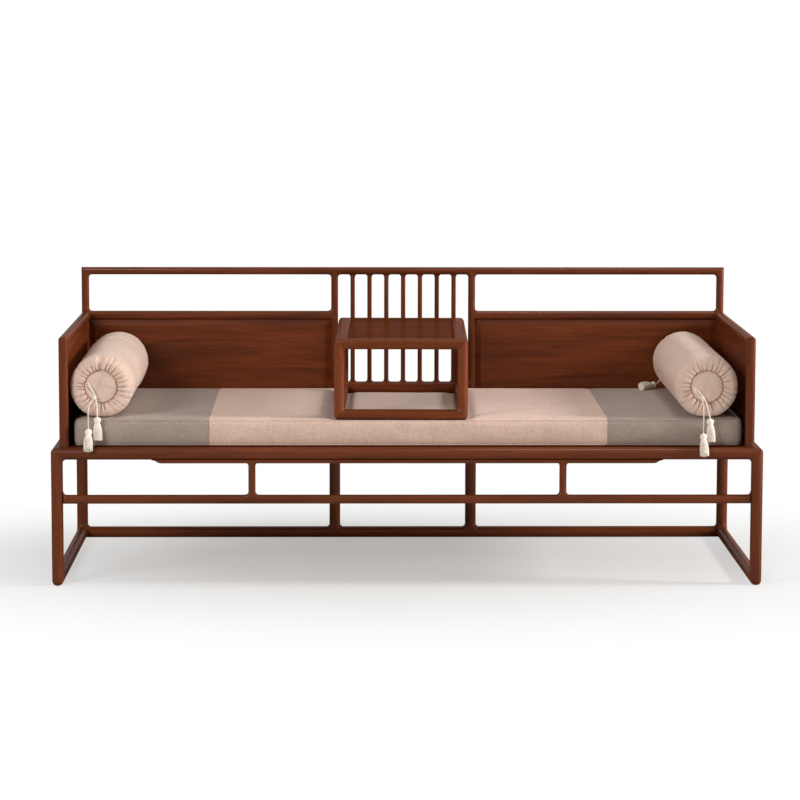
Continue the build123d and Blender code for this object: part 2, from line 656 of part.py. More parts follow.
# The tenon of the top rail stays outside the pointed shoulder of the back panel's rail.
arm_top_tenon = block(-SCREEN_X + 2, -SCREEN_X + 8, SCREEN_FRONT - 2, SCREEN_FRONT + 8,
                      PANEL_RAIL_LOW + 6, PANEL_RAIL_TOP - 6)
arm_bottom_tenon = block(-ARM_MID - 5, -ARM_MID + 5, ARM_POST_REAR - 12, SCREEN_FRONT + 7,
                         SEAT_TOP + 7, BOTTOM_RAIL_TOP - 11)
arm_head_tenon = block(-ARM_MID - 5, -ARM_MID + 5, ARM_FRONT + 9, ARM_FRONT + 17,
                       PANEL_RAIL_LOW - 2, PANEL_RAIL_TOP - 8)
arm_seat_tenon = seat_tenon(-ARM_MID - 7, -ARM_MID + 7, ARM_FRONT + 7, ARM_POST_REAR - 7)

arm_top_rail = arm & across(
    outline((ARM_FRONT, PANEL_RAIL_TOP), (ARM_FRONT, PANEL_RAIL_TOP - EASE),
            (ARM_FRONT + arm_corner, PANEL_RAIL_TOP - arm_corner - EASE),
            (SCREEN_FRONT, PANEL_RAIL_TOP - arm_corner - EASE), (SCREEN_FRONT, PANEL_RAIL_TOP)), -FAR, FAR)
arm_top_rail = one(arm_top_rail + arm_top_tenon - arm_groove - arm_head_tenon)

section = Pos(-ARM_MID, (SEAT_TOP + BOTTOM_RAIL_TOP) / 2) * RectangleRounded(BOTTOM_RAIL_THICKNESS, BOTTOM_RAIL, 4)
arm_bottom_rail = one(upright(section, ARM_POST_REAR, SCREEN_FRONT) + arm_bottom_tenon - arm_groove)

arm_post = arm & across(
    outline((ARM_FRONT, SEAT_TOP), (ARM_FRONT + arm_corner, SEAT_TOP),
            (ARM_FRONT + arm_corner, PANEL_RAIL_TOP - arm_corner - EASE),
            (ARM_FRONT, PANEL_RAIL_TOP - EASE)), -FAR, FAR)
arm_post = one(arm_post + arm_seat_tenon + arm_head_tenon - arm_groove - arm_bottom_tenon)

# The arm's panel runs into a groove in the back end post, and the arm rails tenon into it.
end_post = one(end_post - arm_groove - arm_top_tenon - arm_bottom_tenon)
panel_top_rail = one(panel_top_rail - arm_groove)

for tenon in (end_seat_tenon, mid_seat_tenon):
    rail_rear = rail_rear - tenon - mirrored(tenon)
rail_left = rail_left - arm_seat_tenon - end_seat_tenon
rail_front = rail_front - arm_seat_tenon - mirrored(arm_seat_tenon)
rail_right = mirrored(rail_left)


# ---------------------------------------------------------------- kang table
def table_members():
    """Legs, top rails and base rails of the table, with three-way mitres at all eight corners."""
    x0, x1, y0, y1 = TABLE_X0, TABLE_X1, TABLE_FRONT, TABLE_REAR
    z0, z1, bar = TABLE_LOW, TABLE_TOP, TABLE_MEMBER
    mitre = bar + TABLE_COVE
    x_hole = window(x0 + bar, z0 + bar, x1 - bar, z1 - bar, TABLE_COVE)
    y_hole = window(y0 + bar, z0 + bar, y1 - bar, z1 - bar, TABLE_COVE)
    x_frame = rect(x0, z0, x1, z1) - x_hole
    y_frame = rect(y0, z0, y1, z1) - y_hole
    fronts = [soften(upright(x_frame, y, y + bar), Axis.Y, TABLE_EDGE) for y in (y0, y1 - bar)]
    sides = [soften(across(y_frame, x, x + bar), Axis.X, TABLE_EDGE) for x in (x0, x1 - bar)]

    def share(lo, hi, end):
        step = mitre if end == lo else -mitre
        return outline((end, z0 + EASE), (end + step, z0 + mitre + EASE), (end + step, z1 - mitre - EASE),
                       (end, z1 - EASE))

    table_legs = []
    for front, y, back_y in zip(fronts, (y0, y1), (1, -1)):
        for side, x, in_x in zip(sides, (x0, x1), (1, -1)):
            region = upright(share(x0, x1, x), -FAR, FAR) & across(share(y0, y1, y), -FAR, FAR)
            a, b = 50 * in_x, 50 * back_y
            near_front = level(outline((x, y), (x + a, y), (x + a, y + b)), z0, z1)
            near_side = level(outline((x, y), (x, y + b), (x + a, y + b)), z0, z1)
            table_legs.append(one((front & region & near_front) + (side & region & near_side)))

    tops = []
    bases = []
    flange = (TABLE_TOP_FRAME - bar) + TABLE_EDGE
    wide = TABLE_TOP_FRAME
    for front, y, inward in zip(fronts, (y0, y1), (1, -1)):
        plan = level(mitred_bar(x0, x1, y, y + inward * wide, 0), -FAR, FAR)
        top = front & upright(mitred_bar(x0, x1, z1, z1 - mitre), -FAR, FAR)
        a, b = sorted((y + inward * (wide - flange), y + inward * wide))
        top += block(x0 + 1, x1 - 1, a, b, z1 - 20, z1) & upright(mitred_bar(x0, x1, z1, z1 - mitre), -FAR, FAR)
        tops.append(top & plan)
        bases.append(front & upright(mitred_bar(x0, x1, z0, z0 + mitre), -FAR, FAR) & plan)
    for side, x, inward in zip(sides, (x0, x1), (1, -1)):
        corners = [(x, y0), (x + inward * wide, y0 + wide), (x + inward * wide, y1 - wide), (x, y1)]
        plan = level(outline(*corners), -FAR, FAR)
        top = side & across(mitred_bar(y0, y1, z1, z1 - mitre), -FAR, FAR)
        a, b = sorted((x + inward * (wide - flange), x + inward * wide))
        top += block(a, b, y0 + 1, y1 - 1, z1 - 20, z1) & across(mitred_bar(y0, y1, z1, z1 - mitre), -FAR, FAR)
        tops.append(top & plan)
        bases.append(side & across(mitred_bar(y0, y1, z0, z0 + mitre), -FAR, FAR) & plan)
    return table_legs, tops, bases


table_legs, table_tops, table_bases = table_members()
hole_x = TABLE_LENGTH - 2 * TABLE_TOP_FRAME
hole_y = TABLE_DEPTH - 2 * TABLE_TOP_FRAME
table_centre = (TABLE_X, (TABLE_FRONT + TABLE_REAR) / 2)
tongue_z = TABLE_TOP - TABLE_PANEL_DROP - 8
table_panel = Pos(*table_centre, tongue_z) * Box(hole_x + 2 * TONGUE_REACH, hole_y + 2 * TONGUE_REACH, TONGUE)
table_panel += Pos(*table_centre, tongue_z + 2.5) * Box(hole_x - 1, hole_y - 1, 11)
table_panel = one(table_panel)
table_groove = Pos(*table_centre, tongue_z) * Box(
    hole_x + 2 * GROOVE_DEPTH, hole_y + 2 * GROOVE_DEPTH, TONGUE)
table_tops = [top - table_groove for top in table_tops]


def turned(shape):
    """Turns a table member with the whole table about its upright middle axis."""
    return Pos(*table_centre) * Rot(0, 0, TABLE_TURN) * Pos(-table_centre[0], -table_centre[1]) * shape


table_tops = [turned(one(top)) for top in table_tops]
table_bases = [turned(one(base)) for base in table_bases]
table_legs = [turned(leg) for leg in table_legs]
table_panel = turned(table_panel)


# ---------------------------------------------------------------- soft parts
def seat_cushion():
    """One long box cushion; the frame of the table has pressed a shallow ring into its top."""
    y_mid = (CUSHION_FRONT + CUSHION_REAR) / 2
    plan = Pos(0, y_mid) * RectangleRounded(CUSHION_LENGTH, CUSHION_REAR - CUSHION_FRONT, 24)
    body = level(plan, CUSHION_LOW, CUSHION_TOP)
    body = fillet(body.faces().sort_by(Axis.Z)[-1].edges(), CUSHION_TOP_EDGE)
    body = fillet(body.faces().sort_by(Axis.Z)[0].edges(), CUSHION_LOW_EDGE)
    gap = IMPRINT_GAP
    ring = block(TABLE_X0 - gap, TABLE_X1 + gap, TABLE_FRONT - gap, TABLE_REAR + gap,
                 TABLE_LOW - gap, CUSHION_TOP + 1)
    inner = TABLE_MEMBER + gap
    ring -= block(TABLE_X0 + inner, TABLE_X1 - inner, TABLE_FRONT + inner, TABLE_REAR - inner,
                  TABLE_LOW - 1, CUSHION_TOP + 2)
    return one(body - turned(ring))


def bolster(x):
    """Round bolster: a full barrel, gathered ends drawn in to a seam round a flat disc."""
    half = BOLSTER_LENGTH / 2
    edges = [
        Line((0, half - BOLSTER_SEAM + 1), (BOLSTER_DISC - 3, half - BOLSTER_SEAM + 1)),
        Line((BOLSTER_DISC - 3, half - BOLSTER_SEAM + 1), (BOLSTER_DISC, half - BOLSTER_SEAM - 2)),
        Spline((BOLSTER_DISC, half - BOLSTER_SEAM - 2), (BOLSTER_CROWN, half),
               (BOLSTER_RADIUS, half - BOLSTER_SHOULDER), tangents=((0.6, 1), (0, -1))),
        Line((BOLSTER_RADIUS, half - BOLSTER_SHOULDER), (BOLSTER_RADIUS, 0)),
        Line((BOLSTER_RADIUS, 0), (0, 0)),
        Line((0, 0), (0, half - BOLSTER_SEAM + 1)),
    ]
    end = revolve(make_face(Curve() + edges), Axis.Y)
    whole = end + mirror(end, about=Plane.XZ)
    return one(Pos(x, (BOLSTER_FRONT + BOLSTER_REAR) / 2, BOLSTER_Z) * whole)


# Drawstring routes, from the seam of the gathered end through the knot to the tassel.
# The knot stands at the third point of each route.
DRAWSTRINGS = {
    "left_a": [(-903, -378.0, 566), (-902, -388, 552), (-874.5, -391.5, 529), (-896, -393.5, 500),
               (-895, -397, 468), (-894, -407, 441)],
    "left_b": [(-897, -378.5, 570), (-887, -389, 556), (-874, -391.5, 530), (-870, -395, 500),
               (-869.5, -401, 475)],
    "right_a": [(806, -378.0, 550), (812, -388, 540), (829, -391.5, 528), (833, -395, 496),
                (833, -399, 462), (831, -409, 428)],
    "right_b": [(802, -378.5, 557), (816, -389, 549), (833.5, -391.5, 528.5), (845, -396, 500),
                (850, -401.5, 470)],
    "rear": [(804, 318.0, 552), (794, 331, 534), (783, 336, 508), (779, 334, 488), (765, 324, 482)],
}
KNOTS = {"left": (-877.2, -391.4, 529), "right": (829.7, -391.5, 527.7)}
TASSELS = {                # top of the head, direction in which the tassel lies
    "left_a": ((-894, -407, 441), (0.02, -0.62, -0.96)),
    "left_b": ((-869.5, -401, 475), (0.01, 0, -1)),
    "right_a": ((831, -409, 428), (0.01, -0.56, -0.96)),
    "right_b": ((850, -401.5, 470), (0.06, 0, -1)),
    "rear": ((765, 324, 482), (-0.72, -0.70, -0.01)),
}


def drawstring(points, label):
    """Round cord on straight runs joined by arcs as large as the runs allow."""
    route = [Vector(*p) for p in points]
    runs = [b - a for a, b in zip(route, route[1:])]
    radii = []
    for before, after in zip(runs, runs[1:]):
        turn = math.radians(before.get_angle(after))
        radii.append(0.45 * min(before.length, after.length) / math.tan(turn / 2))
    path = FilletPolyline(*route, radius=radii)
    start = Plane(origin=path @ 0, z_dir=path % 0)
    tube = sweep(start * Circle(CORD / 2), path=path)
    ideal = math.pi * (CORD / 2) ** 2 * path.length
    print(f"drawstring {label}: length {path.length:.1f}, radii {[round(r, 1) for r in radii]}, "
          f"volume over section times length {tube.volume / ideal:.4f}")
    return one(tube)


def tassel(top, direction):
    """Bound head, narrow neck and a skirt of threads that opens towards its cut end."""
    head = TASSEL_HEAD
    neck = 2 * head - 1.5
    waist = TASSEL_NECK + 1
    edges = [
        Line((0, 0), (3.4, 0)),
        ThreePointArc((3.4, 0), (head, head * 0.98), (waist, neck)),
        Line((waist, neck), (waist, neck + 3)),
        ThreePointArc((waist, neck + 3), (waist + 2.2, neck + 8), (TASSEL_SKIRT - 1, neck + 20)),
        Line((TASSEL_SKIRT - 1, neck + 20), (TASSEL_SKIRT, TASSEL_LENGTH)),
        Line((TASSEL_SKIRT, TASSEL_LENGTH), (0, TASSEL_LENGTH)),
        Line((0, TASSEL_LENGTH), (0, 0)),
    ]
    shape = revolve(make_face(Curve() + edges), Axis.Y)
    aim = Vector(*direction).normalized()
    side = aim.cross(Vector(1, 0.2, 0.1)).normalized()
    placed = Plane(origin=top, x_dir=side, z_dir=side.cross(aim))
    return one(placed * shape)


# ---------------------------------------------------------------- hand over the nodes
for name, leg in legs.items():
    keep(f"leg_{name}", leg)
for name, leg in middle_legs.items():
    keep(f"leg_rear_mid_{name}", leg)
runner_left = side_runner()
keep("floor_runner_left", runner_left)
keep("floor_runner_right", mirrored(runner_left))
keep("floor_runner_rear", one(runner_rear))
keep("front_stretcher", stretcher)
keep("front_struts", *struts)
keep("front_apron", front_apron())
keep("seat_rail_front", one(rail_front))
keep("seat_rail_rear", one(rail_rear))
keep("seat_rail_left", one(rail_left))
keep("seat_rail_right", one(rail_right))
keep("deck_boards", *deck_boards())
keep("deck_bearers", *deck_bearers())

keep("back_top_rail", top_rail)
for side, place in (("left", lambda s: s), ("right", mirrored)):
    keep(f"back_end_post_{side}", place(end_post))
    keep(f"back_mid_post_{side}", place(mid_post))
    keep(f"back_panel_top_rail_{side}", place(panel_top_rail))
    keep(f"back_panel_bottom_rail_{side}", place(panel_bottom_rail))
    keep(f"back_panel_{side}", place(back_panel))
    keep(f"arm_post_{side}", place(arm_post))
    keep(f"arm_top_rail_{side}", place(arm_top_rail))
    keep(f"arm_bottom_rail_{side}", place(arm_bottom_rail))
    keep(f"arm_panel_{side}", place(arm_panel))
keep("lattice_spindles", *spindles)
keep("lattice_bottom_rail", lattice_rail)
keep("lattice_skirt_board", skirt_board)

keep("table_legs", *table_legs)
keep("table_top_rails", *table_tops)
keep("table_base_rails", *table_bases)
keep("table_top_panel", table_panel)

keep("seat_cushion", seat_cushion())
for side, x in BOLSTER_XS.items():
    keep(f"bolster_{side}", bolster(x))
    keep(f"bolster_{side}_knot", Pos(*KNOTS[side]) * Sphere(KNOT / 2))
for label, points in DRAWSTRINGS.items():
    owner = "right_rear" if label == "rear" else label.replace("_", "_front_")
    keep(f"drawstring_{owner}", drawstring(points, label))
    keep(f"tassel_{owner}", tassel(*TASSELS[label]))

for name, shape in pieces.items():
    export_step(shape, f"parts/{name}.step")
print(len(pieces), "nodes")
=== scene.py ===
"""Luohan daybed in oiled dark hardwood, with a long linen cushion, two gathered bolsters,
their drawstrings and tassels, and a plain studio."""

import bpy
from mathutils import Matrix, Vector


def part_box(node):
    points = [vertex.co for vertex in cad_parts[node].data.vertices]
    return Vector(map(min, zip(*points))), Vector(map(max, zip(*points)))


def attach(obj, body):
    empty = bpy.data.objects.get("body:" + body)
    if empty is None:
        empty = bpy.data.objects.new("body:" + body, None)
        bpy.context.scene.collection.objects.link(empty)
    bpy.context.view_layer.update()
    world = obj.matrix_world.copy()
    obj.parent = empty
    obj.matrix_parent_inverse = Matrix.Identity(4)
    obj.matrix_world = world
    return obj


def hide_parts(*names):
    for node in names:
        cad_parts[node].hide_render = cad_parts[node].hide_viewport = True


bl_info = {
    "name": "Luohan daybed",
    "version": (1, 0, 0),
    "blender": (4, 5, 0),
    "location": "3D View > Sidebar > Daybed",
    "description": "Dresses the daybed's timber and sews its cushion, bolsters, cords and tassels",
    "category": "Add Mesh",
}

import math
import random

import bmesh
import bpy
from mathutils import Euler, Matrix, Vector, noise

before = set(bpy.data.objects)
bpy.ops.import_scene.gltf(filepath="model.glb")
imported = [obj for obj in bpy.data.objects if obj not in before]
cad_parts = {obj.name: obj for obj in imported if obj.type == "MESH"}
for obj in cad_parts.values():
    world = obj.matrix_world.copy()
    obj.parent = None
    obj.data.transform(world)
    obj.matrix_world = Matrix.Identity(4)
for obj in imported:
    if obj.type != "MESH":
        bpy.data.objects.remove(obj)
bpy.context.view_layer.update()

# ------------------------ places on the frame, in metres
CUSHION_LOW, CUSHION_HIGH = (-0.941, -0.386, 0.3892), (0.9475, 0.360, 0.4702)
TABLE_MIDDLE = (-0.0127, -0.048)
TABLE_HALF = (0.1885, 0.330)
TABLE_TURN = math.radians(-1.0)
TABLE_MEMBER = 0.029
BOLSTER_RADIUS = 0.0888
BOLSTER_HEIGHT = 0.5573
BOLSTER_ENDS = (-0.3815, 0.3215)
BOLSTER_X = {"left": -0.860, "right": 0.844}
DISC_RADIUS = 0.0445
BAND_EDGE = 0.123  # where the left bolster's two lengths of cloth overlap
CUSHION_FACE = 0.4706  # height at which the bolsters stand
YIELDS_ABOVE = 0.44  # the part of the cushion that gives way under a load
UNDER_TABLE, UNDER_BOLSTER = 0.4624, 0.4694  # height of the cushion's top where it is pressed
CLOTH_STEPS = 20  # frames of the cushion's cloth simulation
HAIR = 0.0004  # a hair's breadth, between pieces that all but touch

# Routes of the drawstrings, from the gathered end to the tassel.
ROUTES = {
    "left_front_a": [(-0.903, -0.378, 0.566), (-0.902, -0.388, 0.552), (-0.8745, -0.3915, 0.529),
                     (-0.896, -0.3935, 0.500), (-0.895, -0.397, 0.468), (-0.894, -0.407, 0.441)],
    "left_front_b": [(-0.897, -0.3785, 0.570), (-0.887, -0.389, 0.556), (-0.874, -0.3915, 0.530),
                     (-0.870, -0.395, 0.500), (-0.8695, -0.401, 0.475)],
    "right_front_a": [(0.806, -0.378, 0.550), (0.812, -0.388, 0.540), (0.829, -0.3915, 0.528),
                      (0.833, -0.395, 0.496), (0.833, -0.399, 0.462), (0.831, -0.409, 0.428)],
    "right_front_b": [(0.802, -0.3785, 0.557), (0.816, -0.389, 0.549), (0.8335, -0.3915, 0.5285),
                      (0.845, -0.396, 0.500), (0.850, -0.4015, 0.470)],
    "right_rear": [(0.804, 0.318, 0.552), (0.794, 0.331, 0.534), (0.783, 0.336, 0.508),
                   (0.779, 0.334, 0.488), (0.765, 0.324, 0.482)],
}
TASSEL_AIM = {
    "left_front_a": (0.02, -0.62, -0.96), "left_front_b": (0.01, 0.0, -1.0),
    "right_front_a": (0.01, -0.56, -0.96), "right_front_b": (0.06, 0.0, -1.0),
    "right_rear": (-0.72, -0.70, -0.01),
}
KNOTS = {"left": (-0.8772, -0.3914, 0.529), "right": (0.8297, -0.3915, 0.5277)}

# Bars that are rubbed rounder than their solids: the middle and half the width of each bar across
# X, Y and Z.
BASE_BARS = (((-0.9835, 0.0165), (-0.2085, 0.0165), (0.2085, 0.0165), (0.9835, 0.0165)),
             ((-0.4085, 0.0165), (0.4085, 0.0165)), ((0.0165, 0.0165), (0.3725, 0.0165)))
GRID_BARS = (((-0.437, 0.010), (0.437, 0.010)), ((-0.4085, 0.011),), ((0.2435, 0.0125),))
BACK_BARS = (((-0.966, 0.011), (-0.2085, 0.0105), (0.2085, 0.0105), (0.966, 0.011)),
             ((0.389, 0.013),), ((0.472, 0.012), (0.6875, 0.013), (0.823, 0.011)))
ARM_BARS = (((-0.964, 0.013), (0.964, 0.013)), ((-0.389, 0.013),), ((0.6875, 0.013),))
TABLE_BARS = (((-0.174, 0.0145), (0.174, 0.0145)), ((-0.3155, 0.0145), (0.3155, 0.0145)),
              ((0.4777, 0.0145), (0.6767, 0.0145)))
UNTURNED = Matrix.Identity(4)
TABLE_SEAT = Matrix.Translation((*TABLE_MIDDLE, 0)) @ Matrix.Rotation(TABLE_TURN, 4, "Z")
# Nodes, their body, where their bars stand, the bars, the radius of their solids' edges and the
# rubbed one.
MEMBERS = (
    ("""leg_front_left leg_front_right leg_rear_left leg_rear_right leg_rear_mid_left
        leg_rear_mid_right seat_rail_front seat_rail_rear seat_rail_left seat_rail_right
        floor_runner_left floor_runner_right floor_runner_rear""",
     "bed_frame", UNTURNED, BASE_BARS, 0.010, 0.0148),
    ("front_stretcher front_struts", "bed_frame", UNTURNED, GRID_BARS, 0.0055, 0.0095),
    ("""back_end_post_left back_end_post_right back_mid_post_left back_mid_post_right back_top_rail
        back_panel_top_rail_left back_panel_top_rail_right lattice_bottom_rail""",
     "bed_frame", UNTURNED, BACK_BARS, 0.0065, 0.0098),
    ("arm_post_left arm_post_right arm_top_rail_left arm_top_rail_right",
     "bed_frame", UNTURNED, ARM_BARS, 0.0065, 0.0105),
    ("table_legs table_top_rails table_base_rails",
     "tea_table", TABLE_SEAT, TABLE_BARS, 0.008, 0.0130),
)
# Timber that is shown as its solid is.
PLAIN_TIMBER = """front_apron lattice_spindles lattice_skirt_board back_panel_bottom_rail_left
    back_panel_bottom_rail_right arm_bottom_rail_left arm_bottom_rail_right"""
# Nodes that hold a row of uprights, so their longest side is across the grain.
ROWS_OF_UPRIGHTS = ("front_struts", "lattice_spindles")


# ------------------------ small helpers
def linear(colour):
    """sRGB hex string to a linear RGBA colour."""
    parts = [int(colour[i:i + 2], 16) / 255 for i in (1, 3, 5)]
    return [c / 12.92 if c <= 0.04045 else ((c + 0.055) / 1.055) ** 2.4 for c in parts] + [1.0]


def grey(value):
    return (value, value, value, 1.0)


def shade(colour, factor):
    """The same colour, lighter or darker."""
    return [c * factor for c in list(colour)[:3]] + [1.0]


def node_adder(owner):
    """Clears the nodes of a material or a world, and gives the function that adds one to them."""
    owner.use_nodes = True
    tree = owner.node_tree
    tree.nodes.clear()

    def add(kind, inputs=None, stops=(), **settings):
        """Adds a node with its settings and its colour stops. An input is a value, a socket to
        link, or a node, which stands for its first output."""
        node = tree.nodes.new("ShaderNode" + kind)
        for key, value in settings.items():
            setattr(node, key, value)
        for place, _ in stops[1:-1]:
            node.color_ramp.elements.new(place)
        for i, (place, colour) in enumerate(stops):
            node.color_ramp.elements[i].position = place
            node.color_ramp.elements[i].color = colour
        for key, value in (inputs or {}).items():
            if isinstance(value, bpy.types.Node):
                value = value.outputs[0]
            if isinstance(value, bpy.types.NodeSocket):
                tree.links.new(value, node.inputs[key])
            else:
                node.inputs[key].default_value = value
        return node

    return add


def new_material(name, coordinates="Object"):
    """An empty material, the function that adds its nodes, and the coordinates they start from."""
    material = bpy.data.materials.new(name)
    add = node_adder(material)
    return material, add, add("TexCoord").outputs[coordinates]


def alone(obj):
    """Leaves only this object selected and active."""
    bpy.ops.object.select_all(action="DESELECT")
    obj.select_set(True)
    bpy.context.view_layer.objects.active = obj


def smooth(obj, angle):
    """Shades smooth, but for edges sharper than that many degrees."""
    alone(obj)
    bpy.ops.object.shade_smooth_by_angle(angle=math.radians(angle))


def new_piece(name, mesh, material=None, angle=None):
    """Puts a mesh in the scene under that name, with its finish, and selects it."""
    obj = bpy.data.objects.new(name, mesh)
    bpy.context.collection.objects.link(obj)
    alone(obj)
    if material:
        mesh.materials.append(material)
    if angle:
        smooth(obj, angle)
    return obj


def settle(obj):
    """Moves the object's place, turn and size into its mesh."""
    alone(obj)
    bpy.ops.object.transform_apply(location=True, rotation=True, scale=True)


def apply(obj, modifier):
    """Makes a modifier's result the object's mesh."""
    alone(obj)
    bpy.ops.object.modifier_apply(modifier=modifier.name)


def declare(piece, body, node=None):
    """Makes the piece move with its body, and hides the node that it stands for."""
    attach(piece, body)
    if node:
        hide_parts(node)


def ease_between(low, high, value):
    """0 below low, 1 above high, and a smooth step between."""
    t = min(1.0, max(0.0, (value - low) / (high - low)))
    return t * t * (3 - 2 * t)


def turns(count):
    """Evenly spaced angles, once round."""
    return [2 * math.pi * k / count for k in range(count)]


def skin(shape, rings, closed=False):
    """Covers a row of rings with faces. A ring of one vertex is a point, and a larger one at an
    end gets a cap. Gives each face between rings, with the column and the row of its corners."""
    faces = []
    followers = rings[1:] + (rings[:1] if closed else [])
    for row, (a, b) in enumerate(zip(rings, followers)):
        sides = max(len(a), len(b))
        for k in range(sides):
            n = (k + 1) % sides
            corners = {}
            for ring, i, column, line in ((a, k, k, row), (a, n, k + 1, row),
                                          (b, n, k + 1, row + 1), (b, k, k, row + 1)):
                corners.setdefault(ring[i % len(ring)], (column, line))
            faces.append((shape.faces.new(list(corners)), list(corners.values())))
    for ring in (rings[0][::-1], rings[-1]):
        if len(ring) > 1 and not closed:
            shape.faces.new(ring)
    return faces


def finished_mesh(name, shape):
    """Turns the faces outwards and makes a mesh of the shape."""
    bmesh.ops.recalc_face_normals(shape, faces=shape.faces)
    mesh = bpy.data.meshes.new(name)
    shape.to_mesh(mesh)
    shape.free()
    return mesh


def tube_mesh(name, line, radius_at, sides, closed=False):
    """A closed tube along a line. radius_at gives the radius from the turn and the length so far."""
    shape = bmesh.new()
    last = len(line) - 1
    along, rings = 0.0, []
    for i, point in enumerate(line):
        if closed:
            heading = (line[(i + 1) % len(line)] - line[i - 1]).normalized()
        else:
            heading = (line[min(i + 1, last)] - line[max(i - 1, 0)]).normalized()
        if i == 0:
            spare = Vector((0, 0, 1)) if abs(heading.z) < 0.9 else Vector((1, 0, 0))
            across = heading.cross(spare).normalized()
        else:
            across = (across - heading * across.dot(heading)).normalized()
            along += (point - line[i - 1]).length
        upright = heading.cross(across)
        ring = []
        for turn in turns(sides):
            out = across * math.cos(turn) + upright * math.sin(turn)
            ring.append(shape.verts.new(point + out * radius_at(turn, along)))
        rings.append(ring)
    skin(shape, rings, closed)
    return finished_mesh(name, shape)


def revolved(name, profile, sides, dent):
    """Surface of revolution about Y, closed by a point at each end of the profile.
    dent(radius, y, turn) gives the offset from the profile along the radius and along Y."""
    shape = bmesh.new()
    uv = shape.loops.layers.uv.new("cloth")
    run, rings = [0.0], []
    for (r0, y0), (r1, y1) in zip(profile, profile[1:]):
        run.append(run[-1] + math.hypot(r1 - r0, y1 - y0))
    for radius, y in profile:
        if radius == 0:
            rings.append([shape.verts.new((0, y, 0))])
            continue
        ring = []
        for turn in turns(sides):
            dr, dy = dent(radius, y, turn)
            ring.append(shape.verts.new(((radius + dr) * math.cos(turn), y + dy,
                                         (radius + dr) * math.sin(turn))))
        rings.append(ring)
    width = 2 * math.pi * BOLSTER_RADIUS
    for face, corners in skin(shape, rings):
        for loop, (column, row) in zip(face.loops, corners):
            loop[uv].uv = (width * column / sides, run[row])
    return finished_mesh(name, shape)


# ------------------------ finishes
def streaks(add, place, along, length, width, detail, roughness=0.5, distortion=0.0, shift=0.0):
    """Noise drawn out along the grain into spots of that length and width, in metres."""
    scale = [1 / width] * 3
    scale["XYZ".index(along)] = 1 / length
    drawn = add("Mapping", {"Vector": place, "Location": (shift, shift * 1.7, shift * 0.6),
                            "Scale": scale})
    return add("TexNoise", {"Vector": drawn, "Scale": 1.0, "Detail": detail,
                            "Roughness": roughness, "Distortion": distortion})


def oiled_hardwood(name, along, wood, mitred=False, bold=1.0, plank_shift=0.0, coat=0.16):
    """Dense reddish-brown hardwood, planed and rubbed with oil.
    The eye gets long brown bands, fine dark pores along the grain and a soft satin gloss."""
    material, add, place = new_material(name)
    if mitred:
        # In a mitred ring the grain turns at each corner: side members run in Y, the others in X.
        shift = -(Matrix.Rotation(-TABLE_TURN, 3, "Z") @ Vector((*TABLE_MIDDLE, 0)))
        place = add("Mapping", {"Vector": place, "Location": shift,
                                "Rotation": (0, 0, -TABLE_TURN)})
        x, y, z = add("SeparateXYZ", {"Vector": place}).outputs
        far_x = add("Math", {0: x}, operation="ABSOLUTE")
        far_y = add("Math", {0: y}, operation="ABSOLUTE")
        lead = add("Math", {0: far_x, 1: far_y}, operation="SUBTRACT")
        side = add("Math", {0: lead, 1: TABLE_HALF[0] - TABLE_HALF[1]}, operation="GREATER_THAN")
        turned = add("CombineXYZ", {"X": y, "Y": x, "Z": z})
        place = add("Mix", {0: side, 4: place, 5: turned}, data_type="VECTOR").outputs[1]

    # Growth bands about 45 mm wide and 0.55 m long.
    bands = streaks(add, place, along, 0.55, 0.045, 3.0, 0.55, 0.9, plank_shift)
    # Fibre streaks about 3 mm wide and 120 mm long.
    fibres = streaks(add, place, along, 0.12, 0.0030, 2.0, 0.6, 0.2, plank_shift)
    # Open pores, 0.3 mm wide in the wood, drawn 1 mm wide and 20 mm long so that they show.
    pores = streaks(add, place, along, 0.020, 0.0010, 1.0, shift=plank_shift)
    pore_mask = add("ValToRGB", {"Fac": pores},
                    stops=[(0.0, grey(0)), (0.60, grey(0)), (0.72, grey(1)), (1.0, grey(1))])
    spread = 0.34 * bold
    tone = add("ValToRGB", {"Fac": bands},
               stops=[(0.25, shade(wood, 1 - spread)), (0.5, shade(wood, 1.0)),
                      (0.78, shade(wood, 1 + spread))])
    fibre_tone = add("MapRange", {"Value": fibres, "From Min": 0.3, "From Max": 0.7,
                                  "To Min": 0.82, "To Max": 1.18})
    streaked = add("Mix", {0: 1.0, 6: tone, 7: fibre_tone},
                   data_type="RGBA", blend_type="MULTIPLY")
    pore_share = add("Math", {0: pore_mask, 1: 0.45}, operation="MULTIPLY")
    colour = add("Mix", {0: pore_share, 6: streaked.outputs[2], 7: shade(wood, 0.35)},
                 data_type="RGBA")
    gloss = add("MapRange", {"Value": fibres, "From Min": 0.3, "From Max": 0.7,
                             "To Min": 0.33, "To Max": 0.46})
    relief = add("Math", {0: pore_mask, 1: -0.7, 2: fibres}, operation="MULTIPLY_ADD")
    bump = add("Bump", {"Height": relief, "Strength": 0.22, "Distance": 0.0004})
    # All the gloss is in the coat, which is the film of dried oil, so that a panel seen at a low
    # angle keeps its colour.
    shader = add("BsdfPrincipled",
                 {"Base Color": colour.outputs[2], "Roughness": gloss, "Normal": bump, "IOR": 1.5,
                  "Specular IOR Level": 0.0, "Coat Weight": coat, "Coat IOR": 1.8,
                  "Coat Roughness": 0.21, "Coat Normal": bump})
    add("OutputMaterial", {"Surface": shader})
    return material


